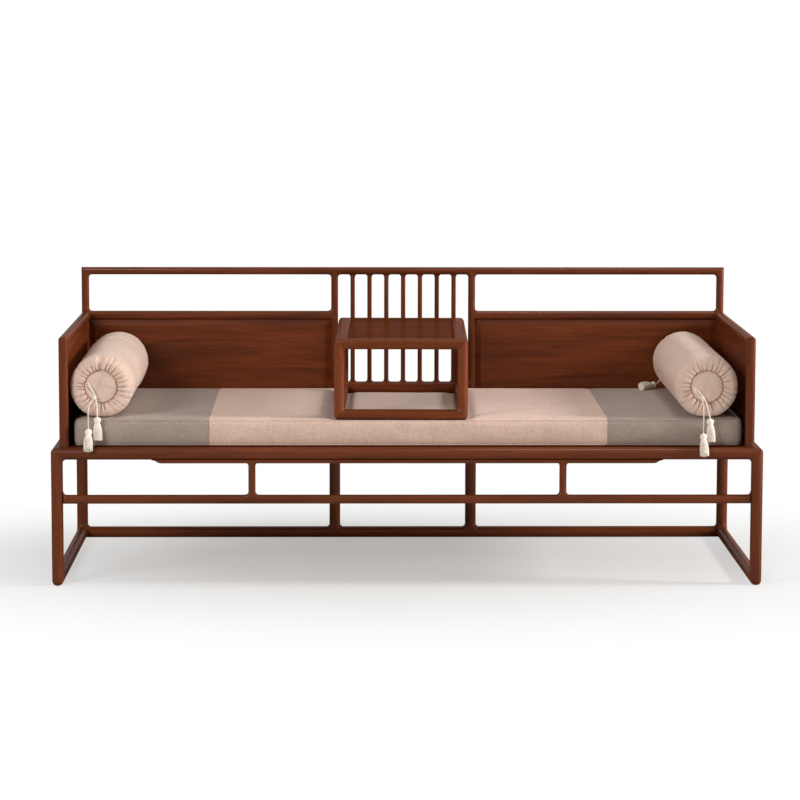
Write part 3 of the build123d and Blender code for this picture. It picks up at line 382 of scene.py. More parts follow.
def plain_softwood(name, along):
    """Sawn pale boards under the cushion, left bare.
    The eye gets a dry straw colour with straight brown growth lines and no gloss."""
    material, add, place = new_material(name)
    lines = streaks(add, place, along, 0.7, 0.009, 4.0, distortion=0.4)
    colour = add("ValToRGB", {"Fac": lines}, stops=[
        (0.3, linear("#A87F55")), (0.5, linear("#C39A6C")), (0.75, linear("#D2AE83"))])
    bump = add("Bump", {"Height": lines, "Strength": 0.2, "Distance": 0.0006})
    shader = add("BsdfPrincipled", {"Base Color": colour, "Roughness": 0.75, "Normal": bump})
    add("OutputMaterial", {"Surface": shader})
    return material


def slub_linen(name, cloth, coordinates="Object", contrast=0.75):
    """Plain-woven linen and cotton upholstery cloth with uneven slub yarns.
    The eye gets a matt cloth flecked lighter and darker along both yarn directions.
    Yarns are about 0.9 mm apart, and are drawn 2.0 mm apart so that they show."""
    material, add, place = new_material(name, coordinates)
    yarn, slub = 0.0020, 0.015

    def yarns(scale, shift):
        moved = add("Mapping", {"Vector": place, "Location": (shift, shift, shift),
                                "Scale": scale})
        return add("TexNoise", {"Vector": moved, "Scale": 1.0, "Detail": 2.0, "Roughness": 0.65})

    # Warp runs with X, weft runs with Y on top and with Z down the sides.
    warp = yarns((1 / slub, 1 / yarn, 1 / yarn), 0.0)
    weft = yarns((1 / yarn, 1 / slub, 1 / slub), 3.1)
    cloud = add("TexNoise", {"Vector": place, "Scale": 14.0, "Detail": 3.0})
    both = add("Math", {0: warp, 1: weft}, operation="ADD")
    tone = add("MapRange", {"Value": both, "From Min": 0.72, "From Max": 1.28,
                            "To Min": 1 - 0.22 * contrast, "To Max": 1 + 0.20 * contrast})
    wash = add("MapRange", {"Value": cloud, "From Min": 0.3, "From Max": 0.7,
                            "To Min": 0.95, "To Max": 1.05})
    total = add("Math", {0: tone, 1: wash}, operation="MULTIPLY")
    colour = add("Mix", {0: 1.0, 6: shade(cloth, 1.0), 7: total},
                 data_type="RGBA", blend_type="MULTIPLY")
    bump = add("Bump", {"Height": both, "Strength": 0.35, "Distance": 0.0005})
    shader = add("BsdfPrincipled",
                 {"Base Color": colour.outputs[2], "Roughness": 0.88, "Normal": bump,
                  "Specular IOR Level": 0.25, "Sheen Weight": 0.12, "Sheen Roughness": 0.5})
    add("OutputMaterial", {"Surface": shader})
    return material


def cotton_cord(name, yarn):
    """Undyed spun cotton in cords, knots and tassel threads.
    The eye gets a soft cream colour, a little darker between the yarns."""
    material, add, place = new_material(name)
    fluff = add("TexNoise", {"Vector": place, "Scale": 700.0, "Detail": 2.0})
    colour = add("ValToRGB", {"Fac": fluff}, stops=[
        (0.3, shade(yarn, 0.80)), (0.5, shade(yarn, 1.0)), (0.7, shade(yarn, 1.10))])
    bump = add("Bump", {"Height": fluff, "Strength": 0.3, "Distance": 0.0003})
    shader = add("BsdfPrincipled",
                 {"Base Color": colour, "Roughness": 0.9, "Normal": bump,
                  "Specular IOR Level": 0.2, "Sheen Weight": 0.2, "Sheen Roughness": 0.5})
    add("OutputMaterial", {"Surface": shader})
    return material


# ------------------------ settings a user may change
class DaybedTimber(bpy.types.PropertyGroup):
    wood: bpy.props.FloatVectorProperty(
        name="Wood", description="Middle tone of the oiled hardwood", subtype="COLOR", size=3,
        min=0, max=1, default=linear("#663118")[:3])
    panel: bpy.props.FloatVectorProperty(
        name="Panels", description="Middle tone of the back and arm panels", subtype="COLOR", size=3,
        min=0, max=1, default=linear("#6A3217")[:3])


class DaybedCushion(bpy.types.PropertyGroup):
    ends: bpy.props.FloatVectorProperty(
        name="End cloth", description="Grey linen of both ends", subtype="COLOR", size=3,
        min=0, max=1, default=linear("#A19085")[:3])
    middle: bpy.props.FloatVectorProperty(
        name="Middle cloth", description="Beige linen of the middle", subtype="COLOR", size=3,
        min=0, max=1, default=linear("#D9BAA8")[:3])
    seam: bpy.props.FloatProperty(
        name="Seam", description="Distance of each cloth seam from the middle of the bed",
        default=0.559, min=0.3, max=0.8, unit="LENGTH")
    swell: bpy.props.FloatProperty(
        name="Swell", description="How far the filling may push the cloth out",
        default=0.006, min=0.0, max=0.012, unit="LENGTH")


class DaybedBolsters(bpy.types.PropertyGroup):
    cloth: bpy.props.FloatVectorProperty(
        name="Cloth", description="Linen of the bolsters", subtype="COLOR", size=3,
        min=0, max=1, default=linear("#DABDAB")[:3])
    gathers: bpy.props.IntProperty(
        name="Gathers", description="Folds round each gathered end", default=28, min=16, max=40)
    fold: bpy.props.FloatProperty(
        name="Fold depth", description="Depth of the gathers beside the disc",
        default=0.0095, min=0.0, max=0.012, unit="LENGTH")


class DaybedCords(bpy.types.PropertyGroup):
    yarn: bpy.props.FloatVectorProperty(
        name="Yarn", description="Cotton of the cords and tassels", subtype="COLOR", size=3,
        min=0, max=1, default=linear("#F3E8DA")[:3])
    thickness: bpy.props.FloatProperty(
        name="Cord thickness", description="Diameter of the drawstrings",
        default=0.0036, min=0.002, max=0.006, unit="LENGTH")
    threads: bpy.props.IntProperty(
        name="Threads", description="Threads in each tassel's skirt", default=54, min=12, max=120)


class DaybedStage(bpy.types.PropertyGroup):
    key: bpy.props.FloatProperty(
        name="Key light", description="Power of the light overhead",
        default=24.0, min=0.0, unit="POWER")
    side: bpy.props.FloatProperty(
        name="Side light", description="Power of the light high on the right",
        default=340.0, min=0.0, unit="POWER")
    rim: bpy.props.FloatProperty(
        name="Rim light", description="Power of the low light that picks out the rubbed edges",
        default=110.0, min=0.0, unit="POWER")
    fill: bpy.props.FloatProperty(
        name="Fill light", description="Power of the soft light at the front left",
        default=112.0, min=0.0, unit="POWER")
    sky: bpy.props.FloatProperty(
        name="Room light", description="Strength of the light from all round",
        default=0.24, min=0.0, max=1.0)


# ------------------------ timber
class DAYBED_OT_members(bpy.types.Operator):
    """Rubs the long edges of legs, posts and rails into one soft curve"""
    bl_idname = "daybed.members"
    bl_label = "Round the members"

    def execute(self, context):
        for nodes, body, seat, bars, drawn, rubbed in MEMBERS:
            for node in nodes.split():
                piece = new_piece(f"rubbed_{node}", self.merged(node))
                for v in piece.data.vertices:
                    place = seat.inverted() @ v.co
                    v.co = seat @ Vector([self.rub(c, across, drawn, rubbed)
                                          for c, across in zip(place, bars)])
                smooth(piece, 35)
                declare(piece, body, node)
        return {"FINISHED"}

    def merged(self, node):
        """A copy of a node's mesh with its loose triangles joined."""
        shape = bmesh.new()
        shape.from_mesh(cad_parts[node].data)
        bmesh.ops.remove_doubles(shape, verts=shape.verts, dist=0.00001)
        shape.verts.index_update()
        mesh = bpy.data.meshes.new(f"rubbed_{node}")
        mesh.from_pydata([v.co.copy() for v in shape.verts], [],
                         [[v.index for v in face.verts] for face in shape.faces])
        shape.free()
        return mesh

    def rub(self, value, bars, drawn, rubbed):
        """Moves one coordinate inside a bar, so that its flat is narrower and its edge rounder."""
        for middle, half in bars:
            off = value - middle
            if abs(off) < half:
                flat = half - drawn
                past = abs(off) - flat
                if abs(off) <= flat:
                    return middle + off * (half - rubbed) / flat
                return middle + math.copysign(half - rubbed + past * rubbed / drawn, off)
        return value


class DAYBED_OT_timber(bpy.types.Operator):
    """Gives every wooden node its finish, with the grain along the piece"""
    bl_idname = "daybed.timber"
    bl_label = "Oil the timber"

    def execute(self, context):
        settings = context.scene.daybed_timber
        wood, panel = settings.wood, settings.panel
        finishes = {along: oiled_hardwood(f"oiled_hardwood_grain_{along.lower()}", along, wood)
                    for along in "XYZ"}
        rubbed = " ".join(nodes for nodes, *_ in MEMBERS)
        for name in (rubbed + " " + PLAIN_TIMBER).split():
            self.dress(name, finishes[self.grain(name)])
        # The table is a piece of its own, with a paler frame than the bed.
        ring = oiled_hardwood("oiled_hardwood_mitred", "X", shade(wood, 1.1), mitred=True,
                              coat=0.10)
        self.dress("table_top_rails", ring)
        self.dress("table_base_rails", ring)
        # Its legs are painted lighter still: painted highlight for the light that their rounded
        # edges catch.
        self.dress("table_legs", oiled_hardwood("oiled_hardwood_table_legs_painted_highlight", "Z",
                                                shade(wood, 1.4)))
        # Its top panel is darker than the bed's panels: painted shade that takes back the light and
        # gloss its upward face catches.
        self.dress("table_top_panel", oiled_hardwood("oiled_panel_table_painted_shade", "X", shade(panel, 0.72),
                                                     bold=0.9, coat=0.03))
        for side, shift in (("left", 0.0), ("right", 4.3)):
            for place, along, more in (("back", "X", 0.0), ("arm", "Y", 2.0)):
                self.dress(f"{place}_panel_{side}",
                           oiled_hardwood(f"oiled_panel_{place}_{side}", along, panel, bold=1.25,
                                          plank_shift=shift + more))
        self.dress("deck_boards", plain_softwood("bare_softwood_boards", "X"))
        self.dress("deck_bearers", plain_softwood("bare_softwood_bearers", "Y"))
        return {"FINISHED"}

    def grain(self, name):
        """The axis along which the node, or each upright of a row, is longest."""
        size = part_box(name)[1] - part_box(name)[0]
        return "Z" if name in ROWS_OF_UPRIGHTS else "XYZ"[max(range(3), key=lambda i: size[i])]

    def dress(self, name, material):
        """Gives a node and its rubbed copy one material."""
        for piece in (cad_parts[name], bpy.data.objects.get(f"rubbed_{name}")):
            if piece:
                piece.data.materials.clear()
                piece.data.materials.append(material)


# ------------------------ seat cushion
class DAYBED_OT_cushion(bpy.types.Operator):
    """Sews the long three-part seat cushion and lets its filling swell"""
    bl_idname = "daybed.cushion"
    bl_label = "Make the seat cushion"

    def execute(self, context):
        settings = context.scene.daybed_cushion
        cushion = self.block()
        self.round_off(cushion)
        self.fill(context, cushion, settings)
        finer = cushion.modifiers.new("Finer", "SUBSURF")
        finer.levels = finer.render_levels = 1
        apply(cushion, finer)
        self.rest(cushion, settings)
        self.cover(cushion, settings)
        smooth(cushion, 60)
        declare(cushion, "cushion", "seat_cushion")
        for piece in self.seams(cushion, settings):
            declare(piece, "cushion")
        return {"FINISHED"}

    def block(self):
        """A box a little smaller than the finished cushion, cut into even squares."""
        slack = 0.002
        low = [CUSHION_LOW[0] + slack, CUSHION_LOW[1] + slack, CUSHION_LOW[2]]
        high = [c - slack for c in CUSHION_HIGH]
        bpy.ops.object.select_all(action="DESELECT")
        bpy.ops.mesh.primitive_cube_add(
            size=1, location=[(a + b) / 2 for a, b in zip(low, high)],
            scale=[b - a for a, b in zip(low, high)])
        cushion = bpy.context.object
        cushion.name = cushion.data.name = "linen_seat_cushion"
        settle(cushion)
        for axis, step in ((0, 0.0128), (1, 0.0128), (2, 0.0125)):
            self.cut_across(cushion, axis, max(1, round((high[axis] - low[axis]) / step) - 1))
        return cushion

    def cut_across(self, cushion, axis, cuts):
        """Divides every edge that runs along one axis."""
        alone(cushion)
        bpy.ops.object.mode_set(mode="EDIT")
        bpy.ops.mesh.select_mode(type="EDGE")
        bpy.ops.mesh.select_all(action="DESELECT")
        shape = bmesh.from_edit_mesh(cushion.data)
        for edge in shape.edges:
            run = edge.verts[0].co - edge.verts[1].co
            if abs(run[axis]) > 0.99 * run.length:
                edge.select_set(True)
        shape.select_flush_mode()
        bmesh.update_edit_mesh(cushion.data)
        bpy.ops.mesh.subdivide(number_cuts=cuts)
        bpy.ops.object.mode_set(mode="OBJECT")

    def round_off(self, cushion):
        """Rounds the plan corners, then the top and bottom edges."""
        points = [v.co for v in cushion.data.vertices]
        low = [min(p[i] for p in points) for i in range(3)]
        high = [max(p[i] for p in points) for i in range(3)]
        middle = [(a + b) / 2 for a, b in zip(low, high)]
        half = [(b - a) / 2 for a, b in zip(low, high)]
        corner, top_edge, bottom_edge = 0.026, 0.016, 0.010
        for v in cushion.data.vertices:
            x, y, z = (v.co[i] - middle[i] for i in range(3))
            sx, sy, sz = (math.copysign(1, c) for c in (x, y, z))
            dx, dy = abs(x) - (half[0] - corner), abs(y) - (half[1] - corner)
            if dx > 0 and dy > 0:
                scale = max(dx, dy) / math.hypot(dx, dy)
                dx, dy = dx * scale, dy * scale
                depth, lean = corner - math.hypot(dx, dy), Vector((dx, dy)).normalized()
            elif half[0] - abs(x) < half[1] - abs(y):
                depth, lean = half[0] - abs(x), Vector((1, 0))
            else:
                depth, lean = half[1] - abs(y), Vector((0, 1))
            edge = top_edge if sz > 0 else bottom_edge
            side, rise = edge - depth, abs(z) - (half[2] - edge)
            if side > 0 and rise > 0:
                scale = max(side, rise) / math.hypot(side, rise)
                dx -= lean.x * side * (1 - scale)
                dy -= lean.y * side * (1 - scale)
                z = sz * (half[2] - edge + rise * scale)
            if dx > corner - half[0]:
                x = sx * (half[0] - corner + dx)
            if dy > corner - half[1]:
                y = sy * (half[1] - corner + dy)
            v.co = Vector((x, y, z)) + Vector(middle)

    def fill(self, context, cushion, settings):
        """Swells the cloth between its seams with a short cloth simulation."""
        start = [v.co.copy() for v in cushion.data.vertices]
        held = cushion.vertex_groups.new(name="held")
        for v in cushion.data.vertices:
            grip = self.grip(v.co, settings)
            if grip > 0:
                held.add([v.index], grip, "REPLACE")
        modifier = cushion.modifiers.new("Cloth", "CLOTH")
        cloth = modifier.settings
        cloth.quality = 5
        cloth.mass = 0.3
        cloth.tension_stiffness = cloth.compression_stiffness = 12
        cloth.bending_stiffness = 0.8
        cloth.use_pressure = True
        cloth.uniform_pressure_force = 4
        cloth.effector_weights.gravity = 0
        cloth.vertex_group_mass = "held"
        cloth.pin_stiffness = 1.0
        modifier.collision_settings.use_collision = False
        modifier.point_cache.frame_start, modifier.point_cache.frame_end = 1, CLOTH_STEPS
        for step in range(1, CLOTH_STEPS + 1):
            context.scene.frame_set(step)
        apply(cushion, modifier)
        context.scene.frame_set(1)
        cushion.vertex_groups.clear()
        for v, before in zip(cushion.data.vertices, start):
            move = v.co - before
            if move.length > settings.swell:
                v.co = before + move.normalized() * settings.swell

    def grip(self, point, settings):
        """1 where a seam, the deck or the table holds the cloth, 0 where it is free."""
        underside, rim, top_edge, seam, near_rail = 0.012, 0.020, 0.016, 0.008, 0.006
        if point.z < CUSHION_LOW[2] + underside:
            return 1.0
        edge = min(point.x - CUSHION_LOW[0], CUSHION_HIGH[0] - point.x,
                   point.y - CUSHION_LOW[1], CUSHION_HIGH[1] - point.y)
        if edge < rim and point.z > CUSHION_HIGH[2] - top_edge:
            return 0.9
        if abs(abs(point.x) - settings.seam) < seam:
            return 0.8
        return 0.9 if self.under_table(point.x, point.y) < near_rail else 0.0

    def under_table(self, x, y):
        """Distance in plan from the ring of the table's base frame, 0 under it."""
        at = Matrix.Rotation(-TABLE_TURN, 2) @ Vector((x - TABLE_MIDDLE[0], y - TABLE_MIDDLE[1]))
        past = [abs(at[i]) - TABLE_HALF[i] for i in (0, 1)]
        outside = math.hypot(max(past[0], 0), max(past[1], 0))
        inside = min(-past[0], -past[1]) - TABLE_MEMBER
        return max(outside, inside, 0.0)

    def rest(self, cushion, settings):
        """Presses the top down under the table and the bolsters, and sinks the cloth seams."""
        for v in cushion.data.vertices:
            p = v.co
            # The swollen sides stay within 2 to 3 mm of the cushion's box.
            p.x = min(max(p.x, CUSHION_LOW[0] - 0.002), CUSHION_HIGH[0] + 0.002)
            p.y = min(max(p.y, CUSHION_LOW[1] - 0.003), CUSHION_HIGH[1] + 0.002)
            p.z = max(p.z, CUSHION_LOW[2])
            if p.z < YIELDS_ABOVE:
                continue
            # The top rises again by 8.5 mm within 30 mm of a rail, by 1.2 mm within 50 mm of
            # a bolster's middle line, and is wavy by less than 1 mm.
            away = self.under_table(p.x, p.y)
            top = min(UNDER_TABLE + 0.0085 * ease_between(0.0, 0.030, away), CUSHION_HIGH[2])
            for x in BOLSTER_X.values():
                rise = 0.0012 * ease_between(0.0, 0.05, abs(p.x - x))
                top = min(top, UNDER_BOLSTER + rise)
            ripple = 0.0006 * noise.noise(p * 9) + 0.0003 * noise.noise(p * 31)
            p.z = min(p.z + ripple, top - HAIR + min(0.0, ripple))
        seam_width, seam_depth = 0.010, 0.0011
        for v in cushion.data.vertices:
            p = v.co
            near = abs(abs(p.x) - settings.seam)
            if near < seam_width and p.z > CUSHION_LOW[2] + 0.004:
                sink = seam_depth * (1 - ease_between(0.0, seam_width, near))
                if p.z > CUSHION_HIGH[2] - 0.018:
                    p.z -= sink
                elif p.y < 0:
                    p.y += sink
                else:
                    p.y -= sink

    def cover(self, cushion, settings):
        """Grey cloth at both ends, beige cloth between the seams."""
        cushion.data.materials.append(slub_linen("woven_linen_grey", settings.ends))
        cushion.data.materials.append(slub_linen("woven_linen_beige", settings.middle))
        for face in cushion.data.polygons:
            face.material_index = 1 if abs(face.center.x) < settings.seam else 0

    def seams(self, cushion, settings):
        """Narrow sewn joints round the top and bottom edges, one length for each cloth."""
        pieces, corner = [], 0.030
        grey_cloth, beige_cloth = cushion.data.materials
        for height, inset, label in ((CUSHION_HIGH[2] - 0.0062, 0.0042, "top"),
                                     (CUSHION_LOW[2] + 0.0036, 0.0034, "bottom")):
            front, rear = CUSHION_LOW[1] + inset, CUSHION_HIGH[1] - inset
            for side, end in ((-1, -CUSHION_LOW[0]), (1, CUSHION_HIGH[0])):
                x = end - inset
                bend = [(x - corner + corner * math.sin(a), corner * (1 - math.cos(a)))
                        for a in [math.radians(d) for d in range(0, 91, 9)]]
                start = settings.seam + HAIR
                plan = [(start, front)] + [(px, front + py) for px, py in bend]
                plan += [(px, rear - py) for px, py in reversed(bend)] + [(start, rear)]
                line = [(side * px, py, height) for px, py in plan]
                name = f"edge_cording_{label}_{'left' if side < 0 else 'right'}"
                pieces.append(self.cording(name, cushion, line, grey_cloth))
            for place, y in (("front", front), ("rear", rear)):
                line = [(-settings.seam, y, height), (settings.seam, y, height)]
                name = f"edge_cording_{label}_{place}"
                pieces.append(self.cording(name, cushion, line, beige_cloth))
        return pieces

    def cording(self, name, cushion, line, cloth):
        """A thin round cording of cloth, half sunk in the cushion along a line of points."""
        radius, spacing = 0.0015, 0.02
        points = [Vector(p) for p in line]
        dense = [points[0]]
        for a, b in zip(points, points[1:]):
            parts = max(1, math.ceil((b - a).length / spacing))
            dense += [a.lerp(b, k / parts) for k in range(1, parts + 1)]
        dense = [self.on_cloth(cushion, point) for point in dense]
        return new_piece(name, tube_mesh(name, dense, lambda turn, along: radius, 8), cloth, 60)

    def on_cloth(self, cushion, point):
        """The nearest point of the cushion's cloth, a hair outside it."""
        found, place, normal, _ = cushion.closest_point_on_mesh(point)
        if not found:
            raise RuntimeError("the cording lies off the cushion")
        return place + normal * HAIR


# ------------------------ bolsters
class DAYBED_OT_bolsters(bpy.types.Operator):
    """Makes both round bolsters with their gathered ends and cover discs"""
    bl_idname = "daybed.bolsters"
    bl_label = "Make the bolsters"

    def execute(self, context):
        settings = context.scene.daybed_bolsters
        cloth = slub_linen("woven_linen_bolster", settings.cloth, "UV", contrast=0.8)
        for side in ("left", "right"):
            bolster = self.bolster(side, settings)
            bolster.data.materials.append(cloth)
            smooth(bolster, 75)
            declare(bolster, f"bolster_{side}", f"bolster_{side}")
        return {"FINISHED"}

    def profile(self):
        """Radius and distance from the end, from the disc's centre out to the barrel."""
        end = [(0.0, 0.0042), (0.006, 0.0040), (0.013, 0.0036), (0.021, 0.0033), (0.029, 0.0034),
               (0.036, 0.0038), (0.0405, 0.0044), (0.0430, 0.0058), (0.0443, 0.0096),
               (0.0455, 0.0116), (0.0467, 0.0092), (0.0480, 0.0050), (0.0502, 0.0026),
               (0.0526, 0.0013), (0.0552, 0.0006), (0.058, 0.0002), (0.061, 0.0)]
        shoulder = 0.026
        for step in range(1, 11):
            turn = math.radians(9 * step)
            end.append((BOLSTER_RADIUS - shoulder * (1 - math.sin(turn)),
                        shoulder * (1 - math.cos(turn))))
        return end

    def bolster(self, side, settings):
        """One bolster from its profile, with its gathers, folds and flat underside."""
        front, rear = BOLSTER_ENDS
        end = self.profile()
        barrel = 92  # rings along the straight part
        span = rear - front - 2 * end[-1][1]
        rings = [(r, front + d) for r, d in end]
        rings += [(BOLSTER_RADIUS, front + end[-1][1] + span * k / barrel)
                  for k in range(1, barrel)]
        # Closer rings at the fold of the band take the place of the even ones.
        rings = [ring for ring in rings if abs(ring[1] - BAND_EDGE) > 0.0062]
        rings += [(BOLSTER_RADIUS, BAND_EDGE + d)
                  for d in (-0.006, -0.004, -0.0022, -0.0008, 0.0006, 0.003)]
        rings.sort(key=lambda ring: ring[1] if ring[0] == BOLSTER_RADIUS else -1)
        rings += [(r, rear - d) for r, d in reversed(end)]
        seed = 11.0 if side == "left" else 47.0
        gathered = 0.075  # no gather reaches further from the end

        def dent(radius, y, turn):
            depth = min(y - front, rear - y)
            way = 1 if y < (front + rear) / 2 else -1
            x, z = math.cos(turn), math.sin(turn)
            dr = dy = 0.0
            if radius > DISC_RADIUS and depth < gathered:
                # Gathers: sharp valleys and round ridges that fade towards the barrel.
                wander = 0.16 * noise.noise(Vector((seed, 3.0 * x, 3.0 * z)))
                phase = settings.gathers * (turn + wander)
                fold = (1 - abs(math.sin(phase / 2))) ** 1.4
                vary = 0.75 + 0.6 * noise.noise(Vector((phase * 0.35, seed, way * 5.0)))
                far = noise.noise(Vector((phase * 0.21, seed + 5, way * 3.0)))
                reach = 0.012 + 0.030 * (0.5 + far)
                travel = max(0.0, radius - 0.047) if depth < 0.02 else 0.03 + depth
                fade = 1 - ease_between(reach * 0.4, reach * 1.9, travel)
                start = ease_between(DISC_RADIUS, 0.0475, radius)
                push = settings.fold * fold * vary * fade * start
                lean = ease_between(0.062, 0.080, radius)
                dy += way * push * (1 - lean)
                dr -= push * lean
            elif radius <= DISC_RADIUS:
                # The cover disc lies in soft slanting folds.
                at = Vector((radius * x, radius * z, 0))
                slant = at.x * 0.75 - at.y * 0.65
                calm = 1 - ease_between(0.030, DISC_RADIUS, radius)
                dy -= way * 0.0020 * calm * math.sin(slant * 140 + 2.6 * noise.noise(at * 40))
                rim = Vector((x, z, seed + (0 if way > 0 else 9)))
                dy += way * 0.0010 * (1 - calm) * noise.noise(rim * 5)
            if radius > 0.07:
                # Slow and quick unevenness of the filling.
                slow, quick = (noise.noise(Vector((x * wide, y * long, z * wide + seed)))
                               for wide, long in ((1.6, 5.0), (4.0, 17.0)))
                dr += (0.0016 * slow + 0.0008 * quick) * ease_between(0.07, 0.087, radius)
            if side == "left" and radius > 0.08 and depth > 0.05:
                # The rear length of cloth laps over the front one and ends in a fold.
                past = y - BAND_EDGE
                dr += 0.0024 * ease_between(-0.0015, 0.0005, past) * (
                    1 - ease_between(0.0, 0.12, past))
                dr -= 0.0030 * (1 - ease_between(0.0, 0.009, abs(past + 0.0030)))
            return dr, dy

        name = f"linen_bolster_{side}"
        piece = new_piece(name, revolved(name, rings, settings.gathers * 12, dent))
        piece.location = (BOLSTER_X[side], 0, BOLSTER_HEIGHT)
        settle(piece)
        # The underside flattens on the cushion within its last 4 mm.
        soft = 0.004
        for v in piece.data.vertices:
            v.co.y = min(max(v.co.y, front - HAIR), rear + HAIR)
            if v.co.z < CUSHION_FACE + soft:
                sunk = CUSHION_FACE + soft - v.co.z
                v.co.z = CUSHION_FACE + soft - soft * (1 - math.exp(-sunk / soft))
        return piece


# ------------------------ drawstrings, knots and tassels
def route_line(name, points):
    """Points read from a smooth spline through the route."""
    curve = bpy.data.curves.new(name, "CURVE")
    curve.dimensions = "3D"
    curve.resolution_u = 26
    spline = curve.splines.new("NURBS")
    spline.points.add(len(points) - 1)
    for knot, place in zip(spline.points, points):
        knot.co = (*place, 1.0)
    spline.order_u = 3
    spline.use_endpoint_u = True
    carrier = bpy.data.objects.new(name, curve)
    mesh = bpy.data.meshes.new_from_object(carrier)
    line = [v.co.copy() for v in mesh.vertices]
    bpy.data.objects.remove(carrier)
    bpy.data.curves.remove(curve)
    bpy.data.meshes.remove(mesh)
    return line


class DAYBED_OT_drawstrings(bpy.types.Operator):
    """Makes the twisted drawstrings, their knots and their tassels"""
    bl_idname = "daybed.drawstrings"
    bl_label = "Make the drawstrings"

    def execute(self, context):
        settings = context.scene.daybed_cords
        self.yarn = cotton_cord("spun_cotton_cream", settings.yarn)
        model = self.tassel(settings)
        knots = {side: self.knot(side, place) for side, place in KNOTS.items()}
        for name, points in ROUTES.items():
            side = name.split("_")[0]
            line = route_line(f"route_{name}", points)
            cord = self.rope(f"twisted_drawstring_{name}", line, settings.thickness / 2)
            tassel = self.hang(model, name, points[-1])
            declare(cord, f"bolster_{side}", f"drawstring_{name}")
            declare(tassel, f"bolster_{side}", f"tassel_{name}")
            length = sum((b - a).length for a, b in zip(line, line[1:]))
            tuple(points[0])
            [tuple(p) for p in line]
        for side, knot in knots.items():
            declare(knot, f"bolster_{side}", f"bolster_{side}_knot")
        bpy.data.objects.remove(model)
        return {"FINISHED"}

    def rope(self, name, line, radius):
        """Three strands laid round each other, seen as ridges that wind along the cord."""
        pitch = 0.0085

        def strand(turn, along):
            return radius * (0.90 + 0.10 * math.cos(3 * (turn - along / pitch * 2 * math.pi / 3)))
        return new_piece(name, tube_mesh(name, line, strand, 18), self.yarn, 80)

    def knot(self, side, place):
        """A tight overhand knot in the two strands."""
        size, radius = 0.00135, 0.00175
        line = [Vector((size * (math.sin(t) + 2 * math.sin(2 * t)), size * 1.1 * math.sin(3 * t),
                        size * (math.cos(t) - 2 * math.cos(2 * t)))) + Vector(place)
                for t in turns(96)]
        name = f"drawstring_knot_{side}"
        loop = tube_mesh(name, line, lambda turn, along: radius, 12, closed=True)
        return new_piece(name, loop, self.yarn, 80)

    def tassel(self, settings):
        """One tassel below the origin: a wound head, a bound neck and a skirt of threads."""
        chance = random.Random(5)
        shape = bmesh.new()
        profile = [(0.0, 0.0003), (0.0026, 0.0), (0.0064, -0.0016), (0.0092, -0.0045),
                   (0.0104, -0.0085), (0.0095, -0.0125), (0.0076, -0.0150), (0.0078, -0.0160),
                   (0.0078, -0.0186), (0.0072, -0.0196), (0.0092, -0.0240), (0.0102, -0.0300),
                   (0.0110, -0.0632), (0.0, -0.0632)]
        rings = []
        for radius, z in profile:
            ring = []
            for turn in turns(40 if radius else 1):
                # The yarn is wound round the head, down to the neck.
                wound = 1 + (0.035 * math.cos(10 * turn + z * 900) if z > -0.014 else 0.0)
                ring.append(shape.verts.new((radius * wound * math.cos(turn),
                                             radius * wound * math.sin(turn), z)))
            rings.append(ring)
        skin(shape, rings)
        for turn in turns(settings.threads):
            self.thread(shape, chance, turn)
        name = "tassel_model"
        return new_piece(name, finished_mesh(name, shape), self.yarn, 60)

    def thread(self, shape, chance, turn):
        """One thread of the skirt, from under the binding to its cut end."""
        turn += chance.uniform(-0.05, 0.05)
        foot = turn + chance.uniform(-0.10, 0.10)
        spread = chance.uniform(0.0110, 0.0126)
        end = -0.066 + chance.uniform(0.0, 0.0022)
        radius, neck, start, steps = 0.00070, 0.0070, -0.0190, 6
        rings = []
        for step in range(steps + 1):
            t = step / steps
            out = neck + (spread - neck) * min(1.0, 1.8 * t) ** 0.5
            at = turn + (foot - turn) * t
            centre = Vector((out * math.cos(at), out * math.sin(at), start + (end - start) * t))
            rings.append([shape.verts.new(centre + Vector((radius * math.cos(a),
                                                           radius * math.sin(a), 0)))
                          for a in turns(5)])
        skin(shape, rings)

    def hang(self, model, name, top):
        """A copy of the tassel with its own mesh, at the end of one drawstring."""
        piece = new_piece(f"cotton_tassel_{name}", model.data.copy())
        aim = Vector(TASSEL_AIM[name]).normalized()
        piece.rotation_mode = "QUATERNION"
        piece.rotation_quaternion = Vector((0, 0, -1)).rotation_difference(aim)
        piece.location = top
        settle(piece)
        return piece


